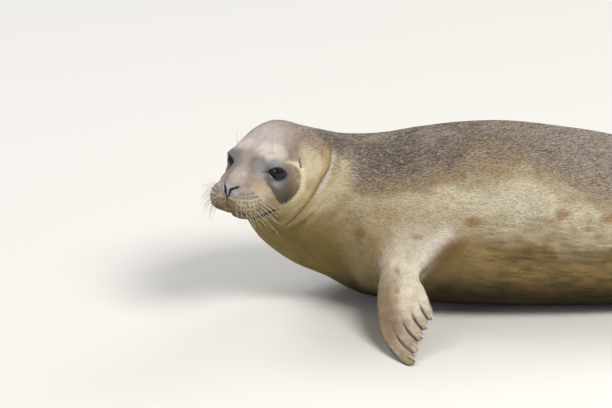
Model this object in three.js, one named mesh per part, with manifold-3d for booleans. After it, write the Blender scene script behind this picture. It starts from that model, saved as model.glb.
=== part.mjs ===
// A young harbor seal lying on its belly with its head raised and turned to its left.
// Millimetres, +Z up. The animal faces -X, its left side is -Y, and the belly lies flat on Z = 0.
import * as THREE from "three";
import { mergeVertices } from "three/addons/utils/BufferGeometryUtils.js";
import Module from "manifold-3d";

const wasm = await Module();
wasm.setup();

// ---------------------------------------------------------------- driving dimensions

const GAP = 0.3; // between neighbouring solids

// Spine seen from above: a straight trunk, one arc for the neck, and a straight head axis.
const NECK_START_X = -300;
const NECK_RADIUS = 159;
const NECK_TURN = THREE.MathUtils.degToRad(53.13);

// Head frame: midpoint between the eyes, forward, left and up.
const EYES_MID = [-458.3, -105, 243.8];
const FORWARD = [-Math.sin(Math.PI / 2 - NECK_TURN), -Math.sin(NECK_TURN)];
const LEFT = [-FORWARD[1], FORWARD[0]];
const SNOUT = 66; // forward of the eye midpoint
const HEAD_STRAIGHT_END = -52; // where the straight head axis meets the neck arc
const ARC_S0 = SNOUT - HEAD_STRAIGHT_END;
const ARC_S1 = ARC_S0 + NECK_RADIUS * NECK_TURN;

const EYE_RADIUS = 19;
const EYE_CENTRE = [-12.9, 35.5, -1.2];
const EYE_TURN = THREE.MathUtils.degToRad(33); // out from straight ahead
const LID_OPENING = [9, 13, 8.4]; // depth, length and height, as radii
const LID_RISE = 1; // of the opening, above the middle of the eyeball

const NOSE_CENTRE = [57, 0, -15];
const NOSE_RADII = [12, 17, 10];
const NOSTRIL_CENTRE = [66, 8.5, -14];
const NOSTRIL_RADII = [8, 2, 4.5];
const NOSTRIL_TURN = 0.5; // radians, in towards the middle at the front
const EAR_CENTRE = [-35, 60, 9];
const EAR_RADII = [2.6, 8, 5];
// The line between the lips, from the front back: forward and up.
const MOUTH_LINE = [[70, -40], [62, -45], [54, -55], [45, -61.5], [26, -64], [2, -59.5]];
const JAW_BACK = [-14, -110];
const JAW_FRONT = [90, -110];

// Head masses: centre (forward, side, up), radii, blend with the ones before, paired or single.
const HEAD_MASSES = [
  { at: [-54, 0, -3], radii: [64, 56, 55], blend: 0 }, // skull
  { at: [-52, 20, -34], radii: [54, 48, 50], blend: 20, paired: true }, // jowl
  { at: [-10, 17, 11], radii: [30, 22, 21], blend: 18, paired: true }, // brow
  { at: [18, 0, -14], radii: [45, 25, 18], blend: 20 }, // bridge of the nose
  { at: [34, 0, -34], radii: [31, 33, 22], blend: 14 }, // muzzle
  { at: [44, 21, -37], radii: [22, 21, 23], blend: 9, paired: true }, // whisker pad
  { at: [54, 0, -16], radii: [10.5, 14, 9.5], blend: 6 }, // nose
  { at: [6, 0, -61], radii: [40, 29, 17], blend: 12 }, // lower jaw
  { at: [-18, 31, -28], radii: [46, 26, 34], blend: 22, paired: true }, // cheek
  { at: EYE_CENTRE, radii: [20.4, 20.4, 19.4], blend: 7, paired: true }, // eyelids
];
const HEAD_REACH = 130;
const REACH_STEPS = 40;
const REACH_HALVINGS = 12;
const HEAD_TO_NECK_BLEND = 12;

// Stations of the body: place along the spine, half width, top, bottom and height of the widest line.
const alongHead = (forward) => SNOUT - forward;
const alongNeck = (share) => ARC_S0 + NECK_RADIUS * NECK_TURN * share;
const alongTrunk = (x) => ARC_S1 + x - NECK_START_X;
const STATIONS = [
  [alongHead(66), 2, 218, 214, 216],
  [alongHead(52), 6, 220, 208, 214],
  [alongHead(36), 10, 222, 190, 212],
  [alongHead(10), 24, 226, 164, 208],
  [alongHead(-20), 44, 240, 136, 200],
  [alongHead(-52), 62, 288, 99.5, 188],
  [alongNeck(0.28), 78, 284, 61, 172],
  [alongNeck(0.6), 92, 265, 35, 150],
  [alongNeck(0.85), 103, 252, 15, 132],
  [alongTrunk(-300), 110, 250, 8, 122],
  [alongTrunk(-270), 118, 251, 3, 117],
  [alongTrunk(-210), 130, 260, -1, 114],
  [alongTrunk(-150), 137, 267, -3, 113],
  [alongTrunk(-90), 139, 269, -5, 112],
  [alongTrunk(0), 136, 260, -6, 108],
  [alongTrunk(78), 129, 247, -6, 103],
  [alongTrunk(150), 117, 226, -6, 95],
  [alongTrunk(220), 100, 196, -5, 84],
  [alongTrunk(290), 80, 159, -3, 71],
  [alongTrunk(350), 60, 122, -2, 58],
  [alongTrunk(400), 44, 91, -1, 47],
  [alongTrunk(440), 31, 69, 10, 42],
  [alongTrunk(480), 22, 56, 26, 41],
  [alongTrunk(515), 14, 49, 34, 41],
  [alongTrunk(526), 2, 43, 41, 42],
];
const TOP_EXPONENT = 2.05;
const BELLY_EXPONENT = 2.2;
const SHOULDER = { x: -236, z: 116, length: 58, height: 52, swell: 11 };

// Lengths of body, from and to along the spine, rings along and points around.
const SEGMENTS = {
  head: [0.6, alongNeck(0.25), 22, 38],
  neck: [alongNeck(0.25), alongTrunk(-285), 7, 32],
  chest: [alongTrunk(-285), alongTrunk(-110), 8, 32],
  belly: [alongTrunk(-110), alongTrunk(150), 8, 32],
  hindquarters: [alongTrunk(150), alongTrunk(408), 10, 28],
  tail: [alongTrunk(408), alongTrunk(525.6), 6, 16],
};

// Flippers, drawn flat: p runs from the wrist to the toes and q from the leading to the trailing edge.
const FORE = {
  root: -88,
  steps: 11,
  lead: [[0, -32], [62, -54], [128, -47], [175, -8]],
  trail: [[0, 27], [26, 28], [50, 34], [75, 39]],
  bow: 10, // how much shorter the middle toe is than a straight line of toe tips
  rootEdge: [-44, 50],
  notch: 10,
  toeReach: [1, 1, 1, 1, 1],
  thickness: { root: 27, wrist: 17, palm: 7, toe: 3.4 },
  spine: [
    [-88, -222, -62, 148],
    [-45, -233, -108, 122],
    [0, -238, -140, 86],
    [60, -231, -186, 50],
    [120, -224, -237, 19],
    [165, -217.5, -281, 5],
    [185, -215, -301, 4],
  ],
  across: [0.985, 0.13, 0.12],
  claw: { length: 16, radius: 2.6, overlap: 11 },
};
const HIND = {
  root: -62,
  steps: 9,
  lead: [[0, -19], [60, -26], [120, -44], [188, -60]],
  trail: [[0, 19], [60, 26], [120, 44], [182, 62]],
  bow: 0,
  rootEdge: [-17, 17],
  notch: 16,
  toeReach: [1, 0.88, 0.82, 0.87, 0.98],
  thickness: { root: 13, wrist: 12, palm: 5, toe: 2.6 },
  spine: [
    [-62, 372, -16, 44],
    [0, 432, -32, 36],
    [60, 491, -42, 37],
    [120, 550, -51, 43],
    [190, 619, -60, 52],
  ],
  across: [-0.05, 0.57, 0.82],
  claw: { length: 9, radius: 1.7, overlap: 7 },
};
const TOES = 5;
const ARM_SHARE = 0.34; // of u, from the root to the wrist
const TOE_SHARE = 0.72; // of u, from the root to where the clefts begin
const PALM_LENGTH = 70;
const TOE_LENGTH = 110;
const CLEFT_DEPTH = 0.38; // share of the thickness
const THINNEST = 0.7; // half thickness along the edges
const LOWEST_TOP = 2.2; // height of the upper face where a flipper lies on the floor
const CLAW_SIDES = 4;
const CLAW_STEPS = 3;
const CLAW_TIP = 0.35;
const CLAW_RISE = 0.6; // above the toe, at the root of the claw
const CLAW_DROP = 2.4; // from there to the tip
const CLAW_BED_DEPTH = 6; // the bed that a claw lies in is open above

const FUR = { color: 0xa89a84, roughness: 0.85, metalness: 0 };
const PALE_FUR = { color: 0xbdb09a, roughness: 0.85, metalness: 0 };
const EYE = { color: 0x120d0b, roughness: 0.08, metalness: 0 };
const NOSE = { color: 0x4a4c55, roughness: 0.45, metalness: 0 };
const HORN = { color: 0xb9ab90, roughness: 0.45, metalness: 0 };

// ---------------------------------------------------------------- curves and blends

const clamp = THREE.MathUtils.clamp;
const lerp = THREE.MathUtils.lerp;

function smoothMin(a, b, k) {
  if (k === 0) return Math.min(a, b);
  const h = clamp(0.5 + (0.5 * (b - a)) / k, 0, 1);
  return lerp(b, a, h) - k * h * (1 - h);
}

const smoothMax = (a, b, k) => -smoothMin(-a, -b, k);

// Smooth values through the rows of a table whose first column is the place along it.
function tableAt(table, s, column) {
  const slope = (i) => (table[i + 1][column] - table[i][column]) / (table[i + 1][0] - table[i][0]);
  const tangent = (i) => {
    if (i === 0) return slope(0);
    if (i === table.length - 1) return slope(i - 1);
    const before = table[i][0] - table[i - 1][0];
    const after = table[i + 1][0] - table[i][0];
    return (slope(i - 1) * after + slope(i) * before) / (after + before);
  };
  let i = 0;
  while (i < table.length - 2 && s > table[i + 1][0]) i += 1;
  const span = table[i + 1][0] - table[i][0];
  const t = (s - table[i][0]) / span;
  return (
    (1 + 2 * t) * (1 - t) ** 2 * table[i][column] +
    t * (1 - t) ** 2 * span * tangent(i) +
    t * t * (3 - 2 * t) * table[i + 1][column] +
    t * t * (t - 1) * span * tangent(i + 1)
  );
}

// ---------------------------------------------------------------- body surface

const HEAD_MATRIX = new THREE.Matrix4()
  .makeBasis(new THREE.Vector3(...FORWARD, 0), new THREE.Vector3(...LEFT, 0), new THREE.Vector3(0, 0, 1))
  .setPosition(...EYES_MID);

function headPoint([f, l, u]) {
  return [
    EYES_MID[0] + f * FORWARD[0] + l * LEFT[0],
    EYES_MID[1] + f * FORWARD[1] + l * LEFT[1],
    EYES_MID[2] + u,
  ];
}

function ellipsoidDistance(point, at, radii) {
  const q = point.map((value, i) => (value - at[i]) / radii[i]);
  const k0 = Math.hypot(...q);
  const k1 = Math.hypot(...q.map((value, i) => value / radii[i]));
  return k1 > 1e-9 ? (k0 * (k0 - 1)) / k1 : -radii[0];
}

function headDistance(x, y, z) {
  const dx = x - EYES_MID[0];
  const dy = y - EYES_MID[1];
  const point = [dx * FORWARD[0] + dy * FORWARD[1], dx * LEFT[0] + dy * LEFT[1], z - EYES_MID[2]];
  let distance = Infinity;
  for (const { at, radii, blend, paired } of HEAD_MASSES) {
    for (const side of paired ? [1, -1] : [1]) {
      const mass = ellipsoidDistance(point, [at[0], side * at[1], at[2]], radii);
      distance = distance === Infinity ? mass : smoothMin(distance, mass, blend);
    }
  }
  return distance;
}

// Where the spine is, seen from above, and the direction across it towards the animal's right.
function spineFrame(s) {
  const angle = clamp((ARC_S1 - s) / NECK_RADIUS, 0, NECK_TURN);
  const along = [Math.cos(angle), Math.sin(angle)];
  const straight = Math.max(s - ARC_S1, 0) - Math.max(ARC_S0 - s, 0);
  const centre = [
    NECK_START_X - NECK_RADIUS * Math.sin(angle) + along[0] * straight,
    -NECK_RADIUS + NECK_RADIUS * Math.cos(angle) + along[1] * straight,
  ];
  return { centre, across: [-along[1], along[0]] };
}

// How far the head reaches from a point of its axis, in one direction.
function headReach(centre, middle, across, cos, sin) {
  const at = (r) => {
    const x = centre[0] + across[0] * cos * r;
    const y = centre[1] + across[1] * cos * r;
    return headDistance(x, y, middle + sin * r);
  };
  const step = HEAD_REACH / REACH_STEPS;
  let inside = -1;
  for (let i = 0; i < REACH_STEPS; i += 1) {
    if (at(i * step) < 0) inside = i;
  }
  if (inside < 0) return 0;
  let near = inside * step;
  let far = near + step;
  for (let i = 0; i < REACH_HALVINGS; i += 1) {
    const half = (near + far) / 2;
    if (at(half) < 0) near = half;
    else far = half;
  }
  return near;
}

function shoulderSwell(x, z) {
  const along = (x - SHOULDER.x) / SHOULDER.length;
  const up = (z - SHOULDER.z) / SHOULDER.height;
  return SHOULDER.swell * Math.exp(-along * along - up * up);
}

// A point of the body's surface at s along the spine and at an angle around it.
function bodyPoint(s, angle, grow = 0) {
  const { centre, across } = spineFrame(s);
  const [width, top, bottom, middle] = [1, 2, 3, 4].map((column) => tableAt(STATIONS, s, column));
  const cos = Math.cos(angle);
  const sin = Math.sin(angle);
  const height = sin > 0 ? top - middle : middle - bottom;
  const power = sin > 0 ? TOP_EXPONENT : BELLY_EXPONENT;
  let r = (Math.abs(cos / width) ** power + Math.abs(sin / height) ** power) ** (-1 / power);
  if (s < ARC_S1) r = smoothMax(headReach(centre, middle, across, cos, sin), r, HEAD_TO_NECK_BLEND);
  if (s > ARC_S0) r += shoulderSwell(centre[0], middle + sin * r) * Math.abs(cos);
  r += grow;
  return [centre[0] + across[0] * cos * r, centre[1] + across[1] * cos * r, Math.max(middle + sin * r, 0)];
}

// ---------------------------------------------------------------- closed meshes

function geometryOf(points, faces) {
  const geometry = new THREE.BufferGeometry();
  geometry.setAttribute("position", new THREE.BufferAttribute(new Float32Array(points.flat()), 3));
  geometry.setIndex(faces.flat());
  return geometry;
}

// Rings of points joined one to the next, each end closed to its own middle.
function loft(rings) {
  const around = rings[0].length;
  const points = rings.flat();
  const faces = [];
  for (let i = 0; i < rings.length - 1; i += 1) {
    for (let j = 0; j < around; j += 1) {
      const a = i * around + j;
      const b = i * around + ((j + 1) % around);
      faces.push([a, b, b + around], [a, b + around, a + around]);
    }
  }
  for (const end of [0, rings.length - 1]) {
    const middle = points.length;
    const ring = rings[end];
    points.push([0, 1, 2].map((axis) => ring.reduce((sum, point) => sum + point[axis], 0) / around));
    for (let j = 0; j < around; j += 1) {
      const a = end * around + j;
      const b = end * around + ((j + 1) % around);
      faces.push(end === 0 ? [b, a, middle] : [a, b, middle]);
    }
  }
  return geometryOf(points, outward(points, faces));
}

function outward(points, faces) {
  let volume = 0;
  for (const face of faces) {
    const [p, q, r] = face.map((index) => new THREE.Vector3(...points[index]));
    volume += p.dot(q.cross(r));
  }
  return volume < 0 ? faces.map(([a, b, c]) => [a, c, b]) : faces;
}

function bodyLength([from, to, along, around], grow = 0) {
  const rings = [];
  for (let i = 0; i <= along; i += 1) {
    const s = lerp(from + GAP / 2 - grow, to - GAP / 2 + grow, ringPlace(i / along, from));
    const angle = (j) => (2 * Math.PI * (j + 0.5)) / around;
    rings.push(Array.from({ length: around }, (_, j) => bodyPoint(s, angle(j), grow)));
  }
  return loft(rings);
}

// Rings crowd together at the front of the muzzle, where the surface turns inward.
function ringPlace(share, from) {
  return from < 1 ? 0.4 * share ** 3 + 0.6 * share : share;
}

// An ellipsoid in the head frame, turned about the upright axis.
function ellipsoid(at, radii, around = 16, turn = 0) {
  const geometry = new THREE.SphereGeometry(1, around, Math.round(around * 0.6));
  geometry.deleteAttribute("normal");
  geometry.deleteAttribute("uv");
  return mergeVertices(geometry, 1e-5)
    .rotateX(Math.PI / 2)
    .scale(...radii)
    .rotateZ(turn)
    .translate(...at)
    .applyMatrix4(HEAD_MATRIX);
}

// ---------------------------------------------------------------- solids

function solid(geometry) {
  return new wasm.Manifold(
    new wasm.Mesh({
      numProp: 3,
      vertProperties: new Float32Array(geometry.attributes.position.array),
      triVerts: new Uint32Array(geometry.index.array),
    }),
  );
}

function geometryFrom(manifold) {
  const mesh = manifold.getMesh();
  const geometry = new THREE.BufferGeometry();
  geometry.setAttribute("position", new THREE.BufferAttribute(new Float32Array(mesh.vertProperties), 3));
  geometry.setIndex(Array.from(mesh.triVerts));
  return geometry;
}

// ---------------------------------------------------------------- assembly

const group = new THREE.Group();

function add(name, geometry, look) {
  geometry.computeVertexNormals();
  const mesh = new THREE.Mesh(geometry, new THREE.MeshStandardMaterial(look));
  mesh.name = name;
  group.add(mesh);
}

// ---------------------------------------------------------------- head

// A wedge below the mouth line, closed behind the corner of the mouth.
function jawWedge(shift) {
  const outline = [...MOUTH_LINE, JAW_BACK, JAW_FRONT].map(([f, u]) => [f - shift, u + shift]);
  const side = 90;
  const rings = [-side, side].map((l) => outline.map(([f, u]) => headPoint([f, l, u])));
  return solid(loft(rings));
}

const mirrored = ([f, l, u], side) => [f, side * l, u];
const grown = (radii, by) => radii.map((radius) => radius + by);

function addHead() {
  let head = solid(bodyLength(SEGMENTS.head));
  for (const side of [1, -1]) {
    const centre = mirrored(EYE_CENTRE, side);
    const turn = side * EYE_TURN;
    const ahead = [EYE_RADIUS * Math.cos(turn), EYE_RADIUS * Math.sin(turn), LID_RISE];
    const front = centre.map((value, axis) => value + ahead[axis]);
    const globe = [EYE_RADIUS, EYE_RADIUS, EYE_RADIUS];
    head = head
      .subtract(solid(ellipsoid(centre, grown(globe, GAP), 14)))
      .subtract(solid(ellipsoid(front, LID_OPENING, 12, turn)))
      .subtract(solid(ellipsoid(mirrored(EAR_CENTRE, side), EAR_RADII, 8)));
    add(side > 0 ? "eye_left" : "eye_right", ellipsoid(centre, globe, 14), EYE);
  }
  let nose = head.intersect(solid(ellipsoid(NOSE_CENTRE, NOSE_RADII, 12)));
  for (const side of [1, -1]) {
    const nostril = ellipsoid(mirrored(NOSTRIL_CENTRE, side), NOSTRIL_RADII, 8, -side * NOSTRIL_TURN);
    nose = nose.subtract(solid(nostril));
  }
  head = head.subtract(solid(ellipsoid(NOSE_CENTRE, grown(NOSE_RADII, GAP), 12)));
  add("nose_pad", geometryFrom(nose), NOSE);
  add("lower_jaw", geometryFrom(head.intersect(jawWedge(0))), PALE_FUR);
  add("head", geometryFrom(head.subtract(jawWedge(GAP))), FUR);
}

// ---------------------------------------------------------------- flippers

function bezier([a, b, c, d], t) {
  const m = 1 - t;
  return [0, 1].map((i) => m ** 3 * a[i] + 3 * m * m * t * b[i] + 3 * m * t * t * c[i] + t ** 3 * d[i]);
}

// 1 in the middle of a toe and 0 in the cleft beside it. v runs across the flipper.
const toeCrown = (v) => Math.abs(Math.sin(Math.PI * TOES * v));

function toeReachAt(form, v) {
  const place = clamp(v * TOES - 0.5, 0, TOES - 1);
  const i = Math.min(Math.floor(place), TOES - 2);
  return lerp(form.toeReach[i], form.toeReach[i + 1], place - i);
}

// The flat plan: u runs from the root to the toes, v from the leading to the trailing edge.
function planPoint(form, u, v) {
  if (u < ARM_SHARE) {
    const p = form.root * (1 - u / ARM_SHARE);
    const wrist = lerp(form.lead[0][1], form.trail[0][1], v);
    return [p, lerp(lerp(form.rootEdge[0], form.rootEdge[1], v), wrist, u / ARM_SHARE)];
  }
  const t = (u - ARM_SHARE) / (1 - ARM_SHARE);
  const ray = form.lead.map((lead, i) => lead.map((value, axis) => lerp(value, form.trail[i][axis], v)));
  ray[3][0] -= form.bow * 4 * v * (1 - v);
  const length = ray[3][0];
  const reach = toeReachAt(form, v) - (form.notch / length) * (1 - toeCrown(v) ** 0.7);
  return bezier(ray, t * reach);
}

// Half the thickness down the middle, p along the flipper.
function middleThickness(form, p) {
  const { root, wrist, palm, toe } = form.thickness;
  if (p < 0) return lerp(wrist, root, p / form.root);
  if (p < PALM_LENGTH) return lerp(palm, wrist, (1 - p / PALM_LENGTH) ** 2);
  return lerp(palm, toe, (p - PALM_LENGTH) / TOE_LENGTH);
}

function halfThickness(form, p, u, v) {
  const edge = Math.sqrt(Math.max(1 - Math.abs(2 * v - 1) ** 3, 0));
  const cleft = 1 - CLEFT_DEPTH * clamp((u - TOE_SHARE) / 0.2, 0, 1) * (1 - toeCrown(v));
  return Math.max(middleThickness(form, p) * edge * cleft, THINNEST);
}

// Carries a point of the flat plan, t off its plane, onto the bent flipper. side is 1 on the left.
function flipperPoint(form, side, p, q, t) {
  const centre = [1, 2, 3].map((column) => tableAt(form.spine, p, column));
  const ahead = [1, 2, 3].map((column) => tableAt(form.spine, p + 1, column));
  const along = new THREE.Vector3(...ahead).sub(new THREE.Vector3(...centre)).normalize();
  const across = new THREE.Vector3(...form.across);
  across.addScaledVector(along, -across.dot(along)).normalize();
  const normal = new THREE.Vector3().crossVectors(along, across);
  const point = new THREE.Vector3(...centre).addScaledVector(across, q).addScaledVector(normal, t);
  return [point.x, side * point.y, Math.max(point.z, t > 0 ? LOWEST_TOP : 0)];
}

function flipperRing(form, side, u) {
  const columns = 2 * TOES + 1;
  const ring = [];
  for (let j = 0; j < 2 * columns; j += 1) {
    const top = j < columns;
    const v = (top ? j : 2 * columns - 1 - j) / (columns - 1);
    const [p, q] = planPoint(form, u, v);
    const t = halfThickness(form, p, u, v) * (top ? 1 : -1);
    ring.push(flipperPoint(form, side, p, q, t));
  }
  return ring;
}

// Rings of the flipper, closed at the toes by joining the upper row to the lower one.
function flipper(form, side) {
  const rings = [];
  for (let i = 0; i <= form.steps; i += 1) rings.push(flipperRing(form, side, i / form.steps));
  const around = rings[0].length;
  const points = rings.flat();
  const faces = [];
  for (let i = 0; i < rings.length - 1; i += 1) {
    for (let j = 0; j < around; j += 1) {
      const a = i * around + j;
      const b = i * around + ((j + 1) % around);
      faces.push([a, b, b + around], [a, b + around, a + around]);
    }
  }
  for (const [start, flip] of [[0, true], [(rings.length - 1) * around, false]]) {
    for (let j = 0; j < around / 2 - 1; j += 1) {
      const a = start + j;
      const c = start + around - 2 - j;
      const cap = [[a, a + 1, c], [a, c, c + 1]];
      faces.push(...(flip ? cap.map(([x, y, z]) => [x, z, y]) : cap));
    }
  }
  return solid(geometryOf(points, outward(points, faces)));
}

function clawRing(form, side, toe, step, grow) {
  const { length, radius, overlap } = form.claw;
  const v = (toe + 0.5) / TOES;
  const share = step / CLAW_STEPS;
  const end = planPoint(form, 1, v);
  const before = planPoint(form, 0.94, v);
  const run = new THREE.Vector2(end[0] - before[0], end[1] - before[1]).normalize();
  const along = -overlap - grow + (length + 2 * grow) * share;
  const size = radius * (1 - share ** 2.2) + CLAW_TIP + grow;
  const lift = form.thickness.toe + CLAW_RISE - CLAW_DROP * share ** 2;
  return Array.from({ length: CLAW_SIDES }, (_, k) => {
    const angle = (2 * Math.PI * (k + 0.5)) / CLAW_SIDES;
    const sideways = Math.cos(angle) * size;
    const p = end[0] + run.x * along - run.y * sideways;
    const q = end[1] + run.y * along + run.x * sideways;
    const open = grow > 0 && angle < Math.PI ? CLAW_BED_DEPTH : 0;
    return flipperPoint(form, side, p, q, lift + Math.sin(angle) * size * 0.8 + open);
  });
}

function claw(form, side, toe, grow) {
  const rings = [];
  for (let step = 0; step <= CLAW_STEPS; step += 1) rings.push(clawRing(form, side, toe, step, grow));
  return loft(rings);
}

// Two neighbouring lengths of body, larger all round by the gap that a flipper keeps to them.
function grownBody(first, second) {
  return solid(bodyLength(SEGMENTS[first], GAP)).add(solid(bodyLength(SEGMENTS[second], GAP)));
}

function addFlipper(kind, form, side, bodyGrown) {
  const name = side > 0 ? "left" : "right";
  let paddle = flipper(form, side).subtract(bodyGrown);
  for (let toe = 0; toe < TOES; toe += 1) {
    paddle = paddle.subtract(solid(claw(form, side, toe, GAP)));
    add(`${kind}claw_${name}_${toe + 1}`, claw(form, side, toe, 0), HORN);
  }
  add(`${kind}flipper_${name}`, geometryFrom(paddle), PALE_FUR);
}

// ---------------------------------------------------------------- whole animal

addHead();
for (const name of ["neck", "chest", "belly", "hindquarters", "tail"]) {
  add(name, bodyLength(SEGMENTS[name]), name === "tail" ? PALE_FUR : FUR);
}
const foreBody = grownBody("neck", "chest");
const hindBody = grownBody("hindquarters", "tail");
for (const side of [1, -1]) {
  addFlipper("fore", FORE, side, foreBody);
  addFlipper("hind", HIND, side, hindBody);
}

export default group;
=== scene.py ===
"""A young harbor seal lying on its belly: skin, coat, eyes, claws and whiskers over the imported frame.

Shapes are worked out in millimetres, as the frame is: +Z up, the animal faces -X, its left is -Y.
The head has axes of its own: f forward, l to its left and u up, from the midpoint between the eyes.
"""

import itertools
import math

import bmesh
import bpy
import numpy as np
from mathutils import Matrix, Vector
from mathutils.kdtree import KDTree


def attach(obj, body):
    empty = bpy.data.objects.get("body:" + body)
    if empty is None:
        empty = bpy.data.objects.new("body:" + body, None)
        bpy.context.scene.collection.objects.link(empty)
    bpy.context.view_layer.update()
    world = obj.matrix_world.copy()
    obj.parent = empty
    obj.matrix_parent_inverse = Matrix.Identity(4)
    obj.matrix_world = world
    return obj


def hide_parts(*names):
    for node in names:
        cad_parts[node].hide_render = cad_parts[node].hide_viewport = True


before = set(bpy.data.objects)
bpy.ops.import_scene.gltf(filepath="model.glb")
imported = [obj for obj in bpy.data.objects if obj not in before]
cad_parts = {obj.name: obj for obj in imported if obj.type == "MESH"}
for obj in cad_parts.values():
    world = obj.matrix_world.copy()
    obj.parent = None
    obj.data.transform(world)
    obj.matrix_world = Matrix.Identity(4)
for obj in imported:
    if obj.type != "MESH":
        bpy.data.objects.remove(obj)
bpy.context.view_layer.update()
MM = 0.001
SEED = 20
SIDES = {1: "left", -1: "right"}  # of the animal

# ---- sizes shared with the frame

NECK_START_X = -300.0
NECK_RADIUS = 159.0
NECK_TURN = math.radians(53.13)
EYES_MID = np.array([-458.3, -105.0, 243.8])
HEAD_AXES = np.array([(-0.6, -0.8, 0.0), (0.8, -0.6, 0.0), (0.0, 0.0, 1.0)])  # forward, left, up
SNOUT = 66.0
HEAD_STRAIGHT_END = -52.0
ARC_S0 = SNOUT - HEAD_STRAIGHT_END
ARC_S1 = ARC_S0 + NECK_RADIUS * NECK_TURN

EYE_RADIUS = 19.0
EYE_CENTRE = np.array([-12.9, 35.5, -1.2])
EYE_TURN = math.radians(33)
EYE_RISE = math.radians(4)

# Head masses: centre, radii, blend with the ones before, and whether there is one on each side.
HEAD_MASSES = [
    ((-54, 0, -3), (64, 56, 55), 0, False),  # skull
    ((-52, 20, -34), (54, 48, 50), 20, True),  # jowl
    ((-10, 17, 11), (30, 22, 21), 18, True),  # brow
    ((18, 0, -14), (45, 25, 18), 20, False),  # bridge of the nose
    ((34, 0, -34), (31, 33, 22), 14, False),  # muzzle
    ((44, 21, -37), (22, 21, 23), 9, True),  # whisker pad
    ((54, 0, -16), (10.5, 14, 9.5), 6, False),  # nose
    ((6, 0, -61), (40, 29, 17), 12, False),  # lower jaw
    ((-18, 31, -28), (46, 26, 34), 22, True),  # cheek
    (tuple(EYE_CENTRE), (20.4, 20.4, 19.4), 7, True),  # eyelids
]
HEAD_REACH = 130.0
REACH_STEPS = 40
REACH_HALVINGS = 11
HEAD_TO_NECK_BLEND = 12.0

FACE_COAT = 0.7
TRUNK_COAT_MORE = 1.5

# How high the skin, the claws and the corners of a tuft stay above the floor.
SKIN_REST = 0.6
CLAW_REST = 0.3
TUFT_REST = (0.3, 0.3, 0.6, 0.4)


def along_head(forward):
    return SNOUT - forward


def along_neck(share):
    return ARC_S0 + NECK_RADIUS * NECK_TURN * share


def along_trunk(x):
    return ARC_S1 + x - NECK_START_X


TAIL_END = along_trunk(525.6)

# Place along the spine, half width, top, bottom and height of the widest line.
STATIONS = [
    (along_head(66), 2, 218, 214, 216),
    (along_head(52), 6, 220, 208, 214),
    (along_head(36), 10, 222, 190, 212),
    (along_head(10), 24, 226, 164, 208),
    (along_head(-20), 44, 240, 136, 200),
    (along_head(-52), 62, 288, 99.5, 188),
    (along_neck(0.28), 78, 284, 61, 172),
    (along_neck(0.6), 92, 265, 35, 150),
    (along_neck(0.85), 103, 252, 15, 132),
    (along_trunk(-300), 110, 250, 8, 122),
    (along_trunk(-270), 118, 251, 3, 117),
    (along_trunk(-210), 130, 260, -1, 114),
    (along_trunk(-150), 137, 267, -3, 113),
    (along_trunk(-90), 139, 269, -5, 112),
    (along_trunk(0), 136, 260, -6, 108),
    (along_trunk(78), 129, 247, -6, 103),
    (along_trunk(150), 117, 226, -6, 95),
    (along_trunk(220), 100, 196, -5, 84),
    (along_trunk(290), 80, 159, -3, 71),
    (along_trunk(350), 60, 122, -2, 58),
    (along_trunk(400), 44, 91, -1, 47),
    (along_trunk(440), 31, 69, 10, 42),
    (along_trunk(480), 22, 56, 26, 41),
    (along_trunk(515), 14, 49, 34, 41),
    (along_trunk(526), 2, 43, 41, 42),
]
TOP_EXPONENT = 2.05
BELLY_EXPONENT = 2.2
SHOULDER = {"x": -236.0, "z": 116.0, "length": 58.0, "height": 52.0, "swell": 11.0}

# Flippers, drawn flat: p from the wrist to the toes, q from the leading to the trailing edge.
FORE = {
    "body_x": -222.0,
    "root": -88.0,
    "lead": [(0, -32), (62, -54), (128, -47), (175, -8)],
    "trail": [(0, 27), (26, 28), (50, 34), (75, 39)],
    "bow": 10.0,
    "root_edge": (-44, 50),
    "notch": 10.0,
    "toe_reach": (1, 1, 1, 1, 1),
    "thickness": {"root": 27, "wrist": 17, "palm": 7, "toe": 3.4},
    "spine": [
        (-88, -222, -62, 148),
        (-45, -233, -108, 122),
        (0, -238, -140, 86),
        (60, -231, -186, 50),
        (120, -224, -237, 19),
        (165, -217.5, -281, 5),
        (185, -215, -301, 4),
    ],
    "across": (0.985, 0.13, 0.12),
    "claw": {"length": 16.0, "radius": 2.6, "overlap": 11.0},
    "rings": (12, 16, 30),
    "fillet": 24.0,
}
HIND = {
    "body_x": 400.0,
    "root": -62.0,
    "lead": [(0, -19), (60, -26), (120, -44), (188, -60)],
    "trail": [(0, 19), (60, 26), (120, 44), (182, 62)],
    "bow": 0.0,
    "root_edge": (-17, 17),
    "notch": 16.0,
    "toe_reach": (1, 0.88, 0.82, 0.87, 0.98),
    "thickness": {"root": 13, "wrist": 12, "palm": 5, "toe": 2.6},
    "spine": [
        (-62, 372, -16, 44),
        (0, 432, -32, 36),
        (60, 491, -42, 37),
        (120, 550, -51, 43),
        (190, 619, -60, 52),
    ],
    "across": (-0.05, 0.57, 0.82),
    "claw": {"length": 9.0, "radius": 1.7, "overlap": 7.0},
    "rings": (8, 14, 22),
    "fillet": 14.0,
}
TOES = 5
ARM_SHARE = 0.34
TOE_SHARE = 0.74
PALM_END = 70.0
TOES_RUN = 110.0
FLIPPER_COAT = 0.5
COLUMNS_PER_TOE = 8

# Columns of a place on a flipper; the last is 1 on a flipper, 0 on the body and between at a seam.
KIND, SIDE, U, V, TOP, SHARE = range(6)
FORE_KIND, HIND_KIND = 0, 1

# ---- curves and blends


def rises(low, high, value):
    """0 up to low, 1 from high on, and smooth in between."""
    t = np.clip((value - low) / (high - low), 0, 1)
    return t * t * (3 - 2 * t)


def falls(low, high, value):
    return 1 - rises(low, high, value)


def smooth_min(a, b, k):
    if k == 0:
        return np.minimum(a, b)
    h = np.clip(0.5 + 0.5 * (b - a) / k, 0, 1)
    return b + (a - b) * h - k * h * (1 - h)


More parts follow.
